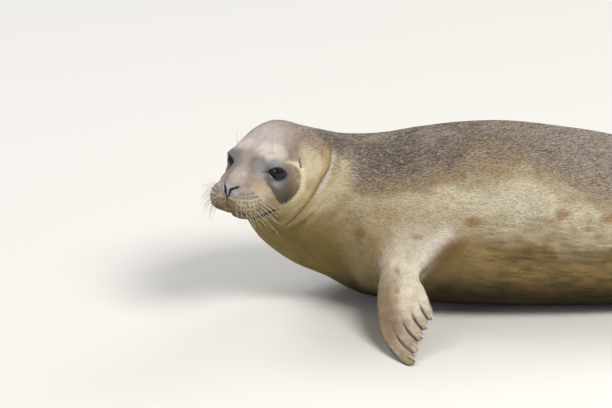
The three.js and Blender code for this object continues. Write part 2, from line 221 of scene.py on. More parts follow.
def smooth_max(a, b, k):
    return -smooth_min(-a, -b, k)


def ridge(distance, width):
    """1 on a line or point and falling to nothing about two widths away."""
    return np.exp(-((distance / width) ** 2))


def ridges(distance, rows):
    """The sum of some ridges beside a line, each with its place, width and height."""
    return sum(height * ridge(distance - place, width) for place, width, height in rows)


def unit(vectors):
    return vectors / np.maximum(np.linalg.norm(vectors, axis=-1, keepdims=True), 1e-9)


def how_far(places, centre, radii=1.0):
    """Distances of places from a centre, as shares of radii if there are any."""
    return np.linalg.norm((places - centre) / radii, axis=-1)


def near_to(places, centre, reach):
    return np.flatnonzero(how_far(places, centre) < reach)


def mirrored(places, side):
    """Places of the left side, or their mirror images where side is -1."""
    return np.asarray(places, float) * (1, side, 1)


def one_side(heads):
    """The same places, with those of the right half of the head mirrored to the left."""
    return np.column_stack([heads[:, 0], np.abs(heads[:, 1]), heads[:, 2]])


def table_at(table, place):
    """Smooth values through the rows of a table whose first column is the place along it."""
    rows = np.asarray(table, float)
    knots, values = rows[:, 0], rows[:, 1:]
    span = np.diff(knots)[:, None]
    slope = np.diff(values, axis=0) / span
    inner = (slope[:-1] * span[1:] + slope[1:] * span[:-1]) / (span[1:] + span[:-1])
    tangent = np.vstack([slope[:1], inner, slope[-1:]])
    i = np.clip(np.searchsorted(knots, place) - 1, 0, len(span) - 1)
    h = span[i]
    t = (place[:, None] - knots[i][:, None]) / h
    start = (1 + 2 * t) * (1 - t) ** 2 * values[i] + t * (1 - t) ** 2 * h * tangent[i]
    end = t * t * (3 - 2 * t) * values[i + 1] + t * t * (t - 1) * h * tangent[i + 1]
    return start + end


# Large odd numbers that scramble a corner's place and the seed into a value.
HASH_FACTORS = (73856093, 19349663, 83492791)
SEED_FACTOR = 40503
MIX_FACTOR = 1274126177
LOW_WORD = 0xFFFFFFFF


def noise(points, cell, seed=0):
    """Smooth noise from -1 to 1 with lumps about one cell across."""
    q = np.asarray(points, float) / cell
    base = np.floor(q).astype(np.int64)
    t = rises(0, 1, q - base)
    total = np.zeros(len(q))
    for corner in itertools.product((0, 1), repeat=3):
        n = (base + corner) * HASH_FACTORS
        n = (n[:, 0] ^ n[:, 1] ^ n[:, 2] ^ ((seed + SEED) * SEED_FACTOR)) & LOW_WORD
        n = ((n ^ (n >> 13)) * MIX_FACTOR) & LOW_WORD
        value = ((n >> 8) & 0xFFFF) / 32767.5 - 1
        total += value * np.prod(np.where(corner, t, 1 - t), axis=1)
    return total


def path_distance(points, path):
    """How far each point is from a line through the places of path, and where along it, 0 to 1."""
    path = np.asarray(path, float)
    best = np.full(len(points), np.inf)
    share = np.zeros(len(points))
    for i in range(len(path) - 1):
        step = path[i + 1] - path[i]
        t = np.clip((points - path[i]) @ step / (step @ step), 0, 1)
        d = how_far(points - path[i], t[:, None] * step)
        nearer = d < best
        best = np.where(nearer, d, best)
        share = np.where(nearer, (i + t) / (len(path) - 1), share)
    return best, share


# ---- body surface


def to_head(points):
    """Head coordinates (f, l, u) of places in the frame."""
    v = points - EYES_MID
    return np.stack([v @ axis for axis in HEAD_AXES], -1)


def from_head(places):
    return EYES_MID + np.asarray(places, float) @ HEAD_AXES


def ellipsoid_distance(points, centre, radii):
    q = (points - centre) / radii
    k0 = np.linalg.norm(q, axis=-1)
    k1 = np.linalg.norm(q / radii, axis=-1)
    return k0 * (k0 - 1) / np.maximum(k1, 1e-9)


def head_distance(points):
    places = to_head(points)
    distance = None
    for centre, radii, blend, paired in HEAD_MASSES:
        for side in SIDES if paired else (1,):
            mass = ellipsoid_distance(places, mirrored(centre, side), np.array(radii, float))
            distance = mass if distance is None else smooth_min(distance, mass, blend)
    return distance


def spine_frame(s):
    """Centre of the spine seen from above, the way to the animal's right, and the way to its tail."""
    angle = np.clip((ARC_S1 - s) / NECK_RADIUS, 0, NECK_TURN)
    along = np.stack([np.cos(angle), np.sin(angle)], -1)
    straight = np.maximum(s - ARC_S1, 0) - np.maximum(ARC_S0 - s, 0)
    arc_x = NECK_START_X - NECK_RADIUS * np.sin(angle)
    arc_y = -NECK_RADIUS + NECK_RADIUS * np.cos(angle)
    centre = np.stack([arc_x, arc_y], -1) + along * straight[:, None]
    across = np.stack([-along[:, 1], along[:, 0]], -1)
    return centre, across, along


def spine_place(points):
    """Where places are along the spine, and how far to its right."""
    x, y = points[:, 0], points[:, 1]
    angle = np.arctan2(NECK_START_X - x, y + NECK_RADIUS)
    forward, left, _ = to_head(points).T
    on_arc = ARC_S1 - NECK_RADIUS * angle
    arc_right = np.hypot(x - NECK_START_X, y + NECK_RADIUS) - NECK_RADIUS
    in_trunk = x > NECK_START_X
    in_head = ~in_trunk & ((angle > NECK_TURN) | (angle < 0))
    s = np.where(in_trunk, along_trunk(x), np.where(in_head, along_head(forward), on_arc))
    right = np.where(in_trunk, y, np.where(in_head, -left, arc_right))
    return s, right


def head_reach(start, direction):
    """How far the head reaches from places of its axis, each in one direction."""
    inside = np.full(len(start), -1)
    step = HEAD_REACH / REACH_STEPS
    for i in range(REACH_STEPS):
        inside = np.where(head_distance(start + direction * (i * step)) < 0, i, inside)
    near = np.maximum(inside, 0) * step
    far = near + step
    for _ in range(REACH_HALVINGS):
        half = (near + far) / 2
        within = head_distance(start + direction * half[:, None]) < 0
        near = np.where(within, half, near)
        far = np.where(within, far, half)
    return np.where(inside < 0, 0, near)


def coat_depth(s):
    """How far the skin lies under the tips of the coat."""
    return FACE_COAT + TRUNK_COAT_MORE * rises(60, 210, s)


def body_surface(s, angle):
    """Places of the bare skin at s along the spine and at an angle around it."""
    centre, across, _ = spine_frame(s)
    width, top, bottom, middle = table_at(STATIONS, s).T
    cos, sin = np.cos(angle), np.sin(angle)
    height = np.where(sin > 0, top - middle, middle - bottom)
    power = np.where(sin > 0, TOP_EXPONENT, BELLY_EXPONENT)
    r = (np.abs(cos / width) ** power + np.abs(sin / height) ** power) ** (-1 / power)
    direction = np.column_stack([across * cos[:, None], sin])
    near_head = s < ARC_S1
    start = np.column_stack([centre, middle])[near_head]
    reach = head_reach(start, direction[near_head])
    r[near_head] = smooth_max(reach, r[near_head], HEAD_TO_NECK_BLEND)
    along_shoulder = (centre[:, 0] - SHOULDER["x"]) / SHOULDER["length"]
    up_shoulder = (middle + sin * r - SHOULDER["z"]) / SHOULDER["height"]
    swell = SHOULDER["swell"] * np.exp(-(along_shoulder**2) - up_shoulder**2) * np.abs(cos)
    r += np.where(s > ARC_S0, swell, 0) - coat_depth(s)
    places = np.column_stack([centre, middle]) + direction * r[:, None]
    places[:, 2] = np.maximum(places[:, 2], coat_depth(s) * 0.8)
    return places


# ---- body mesh

FACE_AROUND = 288
TRUNK_AROUND = FACE_AROUND // 2
FACE_SPACING = 1.4
NECK_SPACING = 2.5
TRUNK_SPACING = 6.8
FACE_END = 96.0
NECK_END = 205.0
SURVEY_RINGS = 900
SURVEY_AROUND = 12


def ring_places():
    """Places along the spine that are evenly spaced over the surface, close together on the face."""
    s = 0.6 + (TAIL_END - 0.6) * np.linspace(0, 1, SURVEY_RINGS) ** 1.6
    angles = (np.arange(SURVEY_AROUND) + 0.5) * math.pi / (SURVEY_AROUND / 2)
    grid = body_surface(np.repeat(s, SURVEY_AROUND), np.tile(angles, len(s)))
    grid = grid.reshape(len(s), SURVEY_AROUND, 3)
    run = np.linalg.norm(np.diff(grid, axis=0), axis=2).mean(1)
    middle = (s[1:] + s[:-1]) / 2
    spacing = FACE_SPACING + (NECK_SPACING - FACE_SPACING) * rises(FACE_END, FACE_END + 25, middle)
    spacing += (TRUNK_SPACING - NECK_SPACING) * rises(NECK_END, NECK_END + 30, middle)
    count = np.concatenate([[0], np.cumsum(run / spacing)])
    return np.interp(np.linspace(0, count[-1], int(count[-1]) + 1), count, s)


def ring_angles(around):
    """Angles of one ring, which starts and ends under the throat and belly."""
    return -math.pi / 2 + 2 * math.pi * np.arange(around) / around


def strip_between(a, b, count_a, count_b):
    """Faces from one ring to the next, which has as many points or half as many."""
    faces = []
    for j in range(count_b):
        k = (j + 1) % count_b
        if count_a == count_b:
            faces.append((a + j, a + k, b + k, b + j))
        else:
            first, middle, last = a + 2 * j, a + 2 * j + 1, a + 2 * k
            faces += [(first, middle, b + j), (middle, last, b + k), (middle, b + k, b + j)]
    return faces


def ring_faces(rings, around, capped=False):
    """Faces of a row of rings, and its two flat ends if it is capped."""
    faces = []
    for i in range(rings - 1):
        faces += strip_between(i * around, (i + 1) * around, around, around)
    if capped:
        last = (rings - 1) * around
        faces += [tuple(range(around))[::-1], tuple(range(last, last + around))]
    return faces


def outward(points, faces):
    """The faces of a closed mesh, turned over if they face inwards."""
    volume = 0.0
    for first, *rest in faces:
        for second, third in zip(rest, rest[1:]):
            volume += np.dot(points[first], np.cross(points[second], points[third]))
    return faces if volume > 0 else [face[::-1] for face in faces]


def body_mesh():
    rings, faces, start = [], [], 0
    for s in ring_places():
        around = FACE_AROUND if s < NECK_END else TRUNK_AROUND
        if rings:
            faces += strip_between(start - len(rings[-1]), start, len(rings[-1]), around)
        rings.append(np.column_stack([np.full(around, s), ring_angles(around)]))
        start += around
    flat = np.concatenate(rings)
    points = body_surface(flat[:, 0], flat[:, 1])
    for first, count, flip in ((0, FACE_AROUND, True), (len(points) - TRUNK_AROUND, TRUNK_AROUND, False)):
        centre = len(points)
        points = np.vstack([points, points[first : first + count].mean(0)])
        for j in range(count):
            a, b = first + j, first + (j + 1) % count
            faces.append((b, a, centre) if flip else (a, b, centre))
    return points, faces


# ---- flippers


def bezier(ends, t):
    a, b, c, d = ends
    m = 1 - t
    return m**3 * a + 3 * m * m * t * b + 3 * m * t * t * c + t**3 * d


def toe_crown(v):
    """1 in the middle of a toe and 0 in the cleft beside it."""
    return np.abs(np.sin(math.pi * TOES * v))


def plan_point(form, u, v):
    """The flat plan: u runs from the root to the toes, v from the leading to the trailing edge."""
    lead, trail = np.array(form["lead"], float), np.array(form["trail"], float)
    ray = lead[:, None] + (trail - lead)[:, None] * v[None, :, None]
    ray[3, :, 0] -= form["bow"] * 4 * v * (1 - v)
    t = np.maximum(u - ARM_SHARE, 0) / (1 - ARM_SHARE)
    toe = np.interp(v * TOES - 0.5, range(TOES), form["toe_reach"])
    reach = toe - form["notch"] / ray[3, :, 0] * (1 - toe_crown(v) ** 0.7)
    paddle = bezier(ray, (t * reach)[:, None])
    low, high = form["root_edge"]
    root = low + (high - low) * v
    arm_p = form["root"] * (1 - u / ARM_SHARE)
    arm_q = root + (ray[0, :, 1] - root) * u / ARM_SHARE
    in_arm = (u < ARM_SHARE)[:, None]
    return np.where(in_arm, np.column_stack([arm_p, arm_q]), paddle)


def half_thickness(form, p, u, v):
    size = form["thickness"]
    arm = size["wrist"] + (size["root"] - size["wrist"]) * p / form["root"]
    palm = size["palm"] + (size["wrist"] - size["palm"]) * (1 - np.clip(p / PALM_END, 0, 1)) ** 2
    toes = size["palm"] + (size["toe"] - size["palm"]) * (p - PALM_END) / TOES_RUN
    full = np.where(p < 0, arm, np.where(p < PALM_END, palm, toes))
    edge = np.sqrt(np.maximum(1 - np.abs(2 * v - 1) ** 3, 0))
    into_toes = rises(TOE_SHARE - 0.06, TOE_SHARE + 0.12, u)
    cleft = 1 - into_toes * (0.3 * (1 - toe_crown(v)) + 0.3 * ridge(toe_crown(v), 0.3))
    blunt = np.sqrt(np.clip((1.0 - u) / 0.03, 0.05, 1))
    return np.maximum((full - FLIPPER_COAT) * edge * cleft * blunt, 0.6)


def flipper_axes(form, p):
    """Places of the flipper's spine, and its ways across and up."""
    here = table_at(form["spine"], p)
    along = unit(table_at(form["spine"], p + 1) - here)
    across = np.array(form["across"], float)
    across = unit(across - along * (along @ across)[:, None])
    return here, across, np.cross(along, across)


def flipper_point(form, side, p, q, off):
    """Carries a place of the flat plan onto the bent flipper. side is 1 on the left."""
    here, across, normal = flipper_axes(form, p)
    points = here + across * q[:, None] + normal * off[:, None]
    points[:, 2] = np.maximum(points[:, 2], np.where(off > 0, 2.2, 0.5))
    points[:, 1] *= side
    return points


def column_places():
    """Places from the leading to the trailing edge, closer together in the clefts."""
    share = np.arange(COLUMNS_PER_TOE * TOES + 1) / COLUMNS_PER_TOE
    return (share - 0.085 * np.sin(2 * math.pi * share)) / TOES


def flipper_mesh(form, side):
    """A closed flipper. Also gives each point's place (u, v, top) on it."""
    arm, palm, toes = form["rings"]
    to_wrist = np.linspace(0, ARM_SHARE, arm, endpoint=False)
    to_toes = np.linspace(ARM_SHARE, TOE_SHARE, palm, endpoint=False)
    us = np.concatenate([to_wrist, to_toes, TOE_SHARE + (1 - TOE_SHARE) * np.linspace(0, 1, toes) ** 0.85])
    columns = column_places()
    v = np.concatenate([columns, columns[::-1]])
    top = np.repeat([1.0, -1.0], len(columns))
    around = len(v)
    u, v, top = np.repeat(us, around), np.tile(v, len(us)), np.tile(top, len(us))
    p, q = plan_point(form, u, v).T
    points = flipper_point(form, side, p, q, half_thickness(form, p, u, v) * top)
    faces = ring_faces(len(us), around)
    for start, flip in ((0, True), ((len(us) - 1) * around, False)):
        for j in range(around // 2 - 1):
            quad = (start + j, start + j + 1, start + around - 2 - j, start + around - 1 - j)
            faces.append(quad[::-1] if flip else quad)
    return points, outward(points, faces), np.column_stack([u, v, top])


# ---- joining the skin


def raw_mesh(name, points, faces):
    mesh = bpy.data.meshes.new(name)
    mesh.from_pydata(points.tolist(), [], [tuple(int(i) for i in face) for face in faces])
    mesh.update()
    return mesh


def new_object(name, mesh):
    made = bpy.data.objects.new(name, mesh)
    bpy.context.scene.collection.objects.link(made)
    return made


def values_of(items, name, width, kind=float):
    """One property of all the points, edges or triangles of a mesh, a row for each."""
    flat = np.zeros(len(items) * width, kind)
    items.foreach_get(name, flat)
    return flat.reshape(-1, width)


def set_points(mesh, points):
    mesh.vertices.foreach_set("co", np.ascontiguousarray(points, np.float32).ravel())
    mesh.update()


def mesh_triangles(mesh):
    mesh.calc_loop_triangles()
    return values_of(mesh.loop_triangles, "vertices", 3, np.int64)


def tree_of(points):
    tree = KDTree(len(points))
    for i, point in enumerate(points):
        tree.insert(point, i)
    tree.balance()
    return tree


def summed(index, values, count):
    return np.stack([np.bincount(index, values[:, k], count) for k in range(values.shape[1])], -1)


def vertex_normals(points, triangles):
    a, b, c = points[triangles].transpose(1, 0, 2)
    facing = np.cross(b - a, c - a)
    return unit(sum(summed(triangles[:, k], facing, len(points)) for k in range(3)))


def relax(values, edges, weight, rounds):
    """Moves each value towards the mean of its neighbours, by its own weight, a number of times."""
    count = len(values)
    both = np.concatenate([edges, edges[:, ::-1]])
    degree = np.maximum(np.bincount(both[:, 0], minlength=count), 1)[:, None]
    for _ in range(rounds):
        mean = summed(both[:, 0], values[both[:, 1]], count) / degree
        values = values + (mean - values) * weight[:, None]
    return values


# Parts of each half of the face whose mesh is twice as fine: centre and reach.
FINE_ZONES = [(EYE_CENTRE + (16, 10, 0), 22), ((56, 0, -26), 27), ((38, 29, -38), 22)]
FLIPPER_MATCH = 0.02  # how near a point of the joined mesh is to the same point of its flipper
FLIPPER_HALO = 12.0  # how far round a flipper the body's points still get places on it
SEAM_REACH = 110.0
SEAM_ROUNDS = 70
SEAM_PULL = 0.6


def refined_body():
    points, faces = body_mesh()
    mesh = raw_mesh("body", points, faces)
    work = bmesh.new()
    work.from_mesh(mesh)
    work.faces.ensure_lookup_table()
    centres = to_head(np.array([face.calc_center_median() for face in work.faces]))
    fine = np.zeros(len(centres), bool)
    for side, (centre, reach) in itertools.product(SIDES, FINE_ZONES):
        fine[near_to(centres, mirrored(centre, side), reach)] = True
    fine &= centres[:, 0] < SNOUT - 1.5
    edges = dict.fromkeys(edge for i in np.flatnonzero(fine) for edge in work.faces[i].edges)
    bmesh.ops.subdivide_edges(work, edges=list(edges), cuts=1, use_grid_fill=True)
    work.to_mesh(mesh)
    work.free()
    places = values_of(mesh.vertices, "co", 3)
    added = np.arange(len(places)) >= len(points)
    s, right = spine_place(places[added])
    middle = table_at(STATIONS, s)[:, 3]
    places[added] = body_surface(s, np.arctan2(places[added, 2] - middle, right))
    set_points(mesh, places)
    return mesh


def joined_skin():
    """One closed mesh of body and flippers, and each point's place on a flipper, if it has one."""
    body = new_object("skin", refined_body())
    flippers, sources, limbs = [], [], []
    for (kind, form), side in itertools.product(enumerate((FORE, HIND)), SIDES):
        points, faces, places = flipper_mesh(form, side)
        flipper = new_object("flipper", raw_mesh("flipper", points, faces))
        union = body.modifiers.new("union", "BOOLEAN")
        union.operation = "UNION"
        union.solver = "MANIFOLD"
        union.object = flipper
        flippers.append(flipper)
        sources.append(points)
        limbs.append(np.column_stack([np.full(len(points), kind), np.full(len(points), side), places]))
    bpy.context.view_layer.update()
    evaluated = body.evaluated_get(bpy.context.evaluated_depsgraph_get())
    mesh = bpy.data.meshes.new_from_object(evaluated)
    body.modifiers.clear()
    body.data = mesh
    mesh.materials.clear()
    for flipper in flippers:
        bpy.data.objects.remove(flipper)
    return body, limb_places(mesh, np.concatenate(sources), np.concatenate(limbs))


def limb_places(mesh, sources, limbs):
    """For each point of the joined mesh its place on a flipper, from the places of the flippers' own."""
    tree = tree_of(sources)
    points = values_of(mesh.vertices, "co", 3)
    found = np.zeros((len(points), SHARE + 1))
    lowest, highest = sources.min(0) - 1, sources.max(0) + 1
    s, _ = spine_place(points)
    near = np.all((points > lowest) & (points < highest), axis=1) & (s > ARC_S0)
    for i in np.flatnonzero(near):
        _, j, distance = tree.find(points[i])
        if distance < FLIPPER_HALO:
            found[i] = (*limbs[j], distance < FLIPPER_MATCH)
    return found


def softened(skin, limbs):
    """Rounds the fold where each flipper leaves the body."""
    points = values_of(skin.data.vertices, "co", 3)
    edges = values_of(skin.data.edges, "vertices", 2, np.int64)
    on_limb = limbs[:, SHARE] == 1
    crossing = on_limb[edges[:, 0]] != on_limb[edges[:, 1]]
    tree = tree_of(points[np.unique(edges[crossing])])
    weight = np.zeros(len(points))
    for form, rows in ((FORE, points[:, 0] < 0), (HIND, points[:, 0] >= 0)):
        for i in np.flatnonzero(rows & (np.abs(points[:, 0] - form["body_x"]) < SEAM_REACH)):
            _, _, distance = tree.find(points[i])
            weight[i] = 1 - distance / form["fillet"]
    weight = rises(0, 1, weight)
    points = relax(points, edges, weight * SEAM_PULL, SEAM_ROUNDS)
    points[:, 2] = np.maximum(points[:, 2], SKIN_REST)
    return points, edges, weight


# ---- relief of the face and folds

# The line between the lips and how far they part, the inner corner of the eye, the fold of the neck
# and the hairs of the brow, all in head coordinates.
MOUTH_FORWARD = (-10, 2, 5, 12, 24, 32, 38, 44, 51, 57, 62, 70)
MOUTH_UP = (-55, -57.5, -60.5, -65.5, -68.5, -68, -66, -63.5, -58.5, -52.5, -47, -40)
LIPS_END = -84
GAPE_HALF = 8.0
GAPE_DROP = 0.3
CANTHUS = [(4, 33, 1.4), (9, 30.4, 2.4), (13.5, 27.6, 3.4)]
CREASE_UP = (-105, -92, -66, -43, -21, 3, 16)
CREASE_FORWARD = (-24, -31, -45, -60, -78, -106, -123)
BROW_HAIRS = [(-5, 32, 26), (-8, 27, 29), (-1, 30, 25)]

# Ridges and grooves beside lines, each with its place from the line, width and height.
LIPS = [(0, 1.2, -2.4), (3.0, 1.8, 0.7), (-4.2, 3.6, -1.3)]
EAR_RIM = [(0, 2.0, -3.4), (4.2, 1.8, 0.8)]
UPPER_LID = [(3.9, 0.8, -0.9)]
LOWER_LID = [(3.1, 0.6, -0.75), (4.3, 0.7, 0.3), (5.6, 0.7, -0.6), (6.9, 0.8, 0.25)]
CREASE = [(0, 2.8, -3.0), (-8, 6, 0.8)]
THROAT_FOLDS = [(20, 5, -1.8), (42, 5, -1.3), (66, 5, -0.9)]

# Where places near a whisker pad or an eye are looked for.
PAD_MIDDLE = (44, 21, -37)
PAD_REACH = 40.0
EYE_REACH = 30.0

# Where the whiskers spread from, and their rows: rise, turn of the first and last, and how many.
PAD_CENTRE = np.array([35.0, 10.0, -31.0])
PAD_ROWS = (
    (24, 22, 64, 5),
    (13, 16, 74, 7),
    (2, 14, 82, 8),
    (-9, 15, 86, 8),
    (-20, 18, 88, 8),
    (-32, 23, 86, 6),
)


def on_head(places, start):
    """Where the lines from start through some places leave the head."""
    ways = unit(np.asarray(places, float) - start)
    starts = np.tile(np.array(start, float), (len(ways), 1))
    reach = head_reach(from_head(starts), ways @ HEAD_AXES) - coat_depth(np.array([20.0]))
    return starts + ways * reach[:, None]


def slit_distance(heads, slit):
    """Distance from a slit of either side as seen from inside the head, and where along the slit."""
    start, places = slit
    aims = np.asarray(places, float) - start
    reach = np.linalg.norm(aims, axis=1).mean()
    return path_distance(unit(one_side(heads) - start) * reach, unit(aims) * reach)


NOSTRIL = (48, 0, -22), [(66.5, 1.7, -24.5), (66, 2.4, -20), (63, 5.5, -14.6), (55.5, 13.6, -10.8)]
EAR_SLIT = (-47, 15, 5), [(-41, 58, 13), (-39.5, 58.5, 7), (-38.5, 58.5, 1)]


def follicles(side):
    """Roots of the whiskers of one side, in head coordinates, and the way that each points."""
    rays = []
    for rise, first, last, count in PAD_ROWS:
        flat = math.cos(math.radians(rise))
        for turn in np.radians(np.linspace(first, last, count)):
            ray = (flat * math.cos(turn), side * flat * math.sin(turn), math.sin(math.radians(rise)))
            rays.append(ray)
    rays = np.array(rays)
    start = mirrored(PAD_CENTRE, side)
    return on_head(start + rays, start), rays


WHISKER_ROOTS = {side: follicles(side) for side in SIDES}


def eye_axes(side):
    """Centre of an eye and its outward, backward and upward ways, in head coordinates."""
    cos, sin = math.cos(EYE_TURN), math.sin(EYE_TURN)
    out = np.array([cos * math.cos(EYE_RISE), side * sin * math.cos(EYE_RISE), math.sin(EYE_RISE)])
    back = np.array([-sin, side * cos, 0.0])
    up = np.cross(out, back) * -side
    return mirrored(EYE_CENTRE, side), out, back, up * np.sign(up[2])


LID_TILT = math.radians(-11)
LID_LENGTH = 13.8
LID_UPPER = 9.5
LID_LOWER = 9.1
LID_REACH = 43.0  # from the middle of the eye
LID_TURN = 1.5


def lid_gap(heads, side):
    """How far outside the lids' opening a place is and how high, and its distance, way and turn."""
    centre, out, back, up = eye_axes(side)
    v = heads - centre
    r = np.linalg.norm(v, axis=1)
    way = v / r[:, None]
    turn = np.arccos(np.clip(way @ out, -1, 1))
    flat = unit(np.stack([way @ back, way @ up], -1)) * turn[:, None] * EYE_RADIUS
    x = flat[:, 0] * math.cos(LID_TILT) + flat[:, 1] * math.sin(LID_TILT)
    y = -flat[:, 0] * math.sin(LID_TILT) + flat[:, 1] * math.cos(LID_TILT)
    power = np.where(x < 0, 1.6, 1.95)
    across = np.abs(x / LID_LENGTH) ** power
    high = np.abs(y / np.where(y > 0, LID_UPPER, LID_LOWER)) ** power
    level = np.maximum((across + high) ** (1 / power), 0.05)
    return np.hypot(x, y) * (1 - 1 / level), y, r, way, turn


def with_lids(heads, side):
    """Draws the skin round one eye into lids, and in behind the eyeball inside them."""
    gap, y, r, way, turn = lid_gap(heads, side)
    upper = rises(-2, 2, y)
    margin = EYE_RADIUS - 2.6 + 3.5 * rises(-1.7, 0.1, gap) + 1.1 * rises(0, 2.4, gap)
    folds = ridges(gap, UPPER_LID) * upper + ridges(gap, LOWER_LID) * (1 - upper)
    within = (turn < LID_TURN) * falls(LID_REACH - 10, LID_REACH, r)
    here = falls(2.0, 11, gap) * within
    radius = r + (margin - r) * here + folds * within * falls(9, 14, gap)
    near = (r < LID_REACH) & (turn < LID_TURN)
    centre = eye_axes(side)[0]
    return np.where(near[:, None], centre + way * radius[:, None], heads)


def above_lips(heads):
    """How far above the line between the lips a place is. The line rises at the front, in the middle."""
    f, l, u = heads.T
    return u - np.interp(f, MOUTH_FORWARD, MOUTH_UP) - 5 * ridge(l, 8) * rises(46, 58, f)


def gape(heads):
    """1 between the lips where they are a little open, on each side."""
    f, l, _ = heads.T
    half = GAPE_HALF * rises(-4, 7, f) * falls(24, 38, f) * rises(2, 27, np.abs(l))
    return rises(0, 1.6, half - np.abs(above_lips(heads) + GAPE_DROP * half)) * (half > 0.3)


def mouth_relief(heads):
    f, _, u = heads.T
    d = above_lips(heads) * 0.97
    parted = gape(heads)
    closed = rises(-1, 5, f) * (1 - parted)
    return (ridges(d, LIPS) * closed - 0.7 * parted) * (u > LIPS_END)


def nose_relief(heads):
    f, l, u = heads.T
    slit, share = slit_distance(heads, NOSTRIL)
    wide = 1.5 + 0.9 * ridge(share - 0.35, 0.35)
    amount = -4.0 * ridge(slit, wide) + 0.5 * ridge(slit - 1.9 * wide, 1.1)
    amount += -1.7 * ridge(l, 1.0) * rises(-43, -38, u) * falls(-24, -20, u) * rises(48, 54, f)
    amount -= 2.6 * inside(one_side(heads), (60, 6, -8), (16, 14, 8), 0.7)
    return amount


def pad_relief(heads):
    amount = np.zeros(len(heads))
    for side in SIDES:
        near = np.flatnonzero((heads[:, 1] * side > 0) & (heads[:, 0] > 20) & (heads[:, 2] < -5))
        for root in WHISKER_ROOTS[side][0]:
            d = how_far(heads[near], root)
            amount[near] += 0.34 * ridge(d, 1.6) - 0.65 * ridge(d, 0.7)
        amount += 0.9 * ridge(how_far(heads, mirrored((46, 22, -31), side), (18, 15, 13)), 1.0)
    return amount


def ear_relief(heads):
    return ridges(slit_distance(heads, EAR_SLIT)[0], EAR_RIM)


def crease_distance(heads):
    """How far behind the fold of the neck a place is, and how much of the fold is there: left side only."""
    f, l, u = heads.T
    line = np.interp(u, CREASE_UP, CREASE_FORWARD)
    slope = np.interp(u, (-105, -43, 16), (0.92, 0.82, 0.70))
    here = rises(14, 34, l) * rises(-100, -86, u) * falls(-4, 10, u)
    return (line - f) * slope, here


def neck_relief(heads):
    d, here = crease_distance(heads)
    behind = np.maximum(d, 0)
    swell = 2.4 * (1 - np.exp(-behind / 2.2)) * np.exp(-behind / 13)
    low = falls(-62, -40, heads[:, 2])
    return (ridges(d, CREASE) + swell + ridges(d, THROAT_FOLDS) * low) * here


# The fold behind the left foreflipper, the web over it, and how far back the fold is at a height.
ARMPIT = [(-206, -140, 84), (-188, -138, 105), (-164, -138, 130)]
WEB = [(-214, -142, 108), (-196, -138, 130), (-176, -136, 148)]
ARMPIT_UP, ARMPIT_X = (60, 84, 105, 130, 170), (-216, -206, -188, -164, -140)

# How far each kind of relief reaches: the face's forward, the others' along X.
FACE_REAR = -62.0
CREASE_REAR = -150.0
ARMPIT_FRONT = -260.0
ARMPIT_REAR = -110.0


def armpit_relief(points):
    """The fold behind each foreflipper, and the web over it."""
    amount = np.zeros(len(points))
    for side in SIDES:
        groove, share = path_distance(points, mirrored(ARMPIT, side))
        web, _ = path_distance(points, mirrored(WEB, side))
        amount += -4.5 * ridge(groove, 7) * (1 - 0.75 * share)
        amount += 2.0 * ridge(web, 16)
    return amount


def relief(points):
    """How far the skin stands out along its normals."""
    heads = to_head(points)
    x, f = points[:, 0], heads[:, 0]
    amount = np.zeros(len(points))
    for rows, places, shapes in (
        (f > FACE_REAR, heads, (mouth_relief, nose_relief, pad_relief, ear_relief)),
        (x < CREASE_REAR, heads, (neck_relief,)),
        ((x > ARMPIT_FRONT) & (x < ARMPIT_REAR), points, (armpit_relief,)),
    ):
        for shape in shapes:
            amount[rows] += shape(places[rows])
    return amount


def shaped(points, triangles):
    points = points + vertex_normals(points, triangles) * relief(points)[:, None]
    heads = to_head(points)
    for side in SIDES:
        heads = with_lids(heads, side)
    moved = how_far(heads, to_head(points)) > 1e-6
    points[moved] = from_head(heads[moved])
    return points


# ---- colours of the pelt

CROWN = (0.29, 0.235, 0.21)
FOREHEAD = (0.385, 0.34, 0.325)
PALE_BROW = (0.56, 0.52, 0.46)
BETWEEN_EYES = (0.34, 0.288, 0.273)
BRIDGE = (0.39, 0.34, 0.315)
MUZZLE_SIDE = (0.40, 0.325, 0.235)
PAD = (0.565, 0.51, 0.425)
# Browner fur along the lower edge of the whisker pads, darkened there as painted shade under their bulge.
PAD_LOW = (0.31, 0.23, 0.105)
CHEEK = (0.57, 0.465, 0.27)
PALE_RIM = (0.64, 0.565, 0.41)
TEMPLE = (0.515, 0.45, 0.315)
NAPE_SIDE = (0.36, 0.27, 0.135)
RUSSET = (0.285, 0.20, 0.145)
BLUE_GREY = (0.25, 0.255, 0.28)
TEAR = (0.085, 0.068, 0.05)
TEAR_REAR = (0.25, 0.18, 0.125)
NOSE_SKIN = (0.30, 0.30, 0.36)
# Dark bare skin of the lids, lips and whisker roots; also painted shade in the parted mouth, the nostrils
# and the ear slits.
DARK_SKIN_AND_SHADE = (0.022, 0.02, 0.022)
JAW = (0.25, 0.185, 0.08)
# Painted shade of the lower lip and chin under the overhanging muzzle, and in the groove under the nose.
CHIN_SHADE = (0.15, 0.098, 0.045)
# Painted highlight on the roll of skin behind the fold of the neck.
RIDGE_HIGHLIGHT = (0.66, 0.63, 0.565)
# Painted shade in the fold of the neck and in the fold behind each foreflipper.
CREASE_SHADE = (0.13, 0.094, 0.045)
BACK = (0.108, 0.087, 0.072)
# Painted highlight along the top line of the back, where light falls from above.
BACK_TOP_LIT = (0.255, 0.212, 0.178)
UPPER_FLANK = (0.31, 0.235, 0.135)
CREAM = (0.50, 0.45, 0.335)
LOW_FLANK = (0.225, 0.157, 0.064)
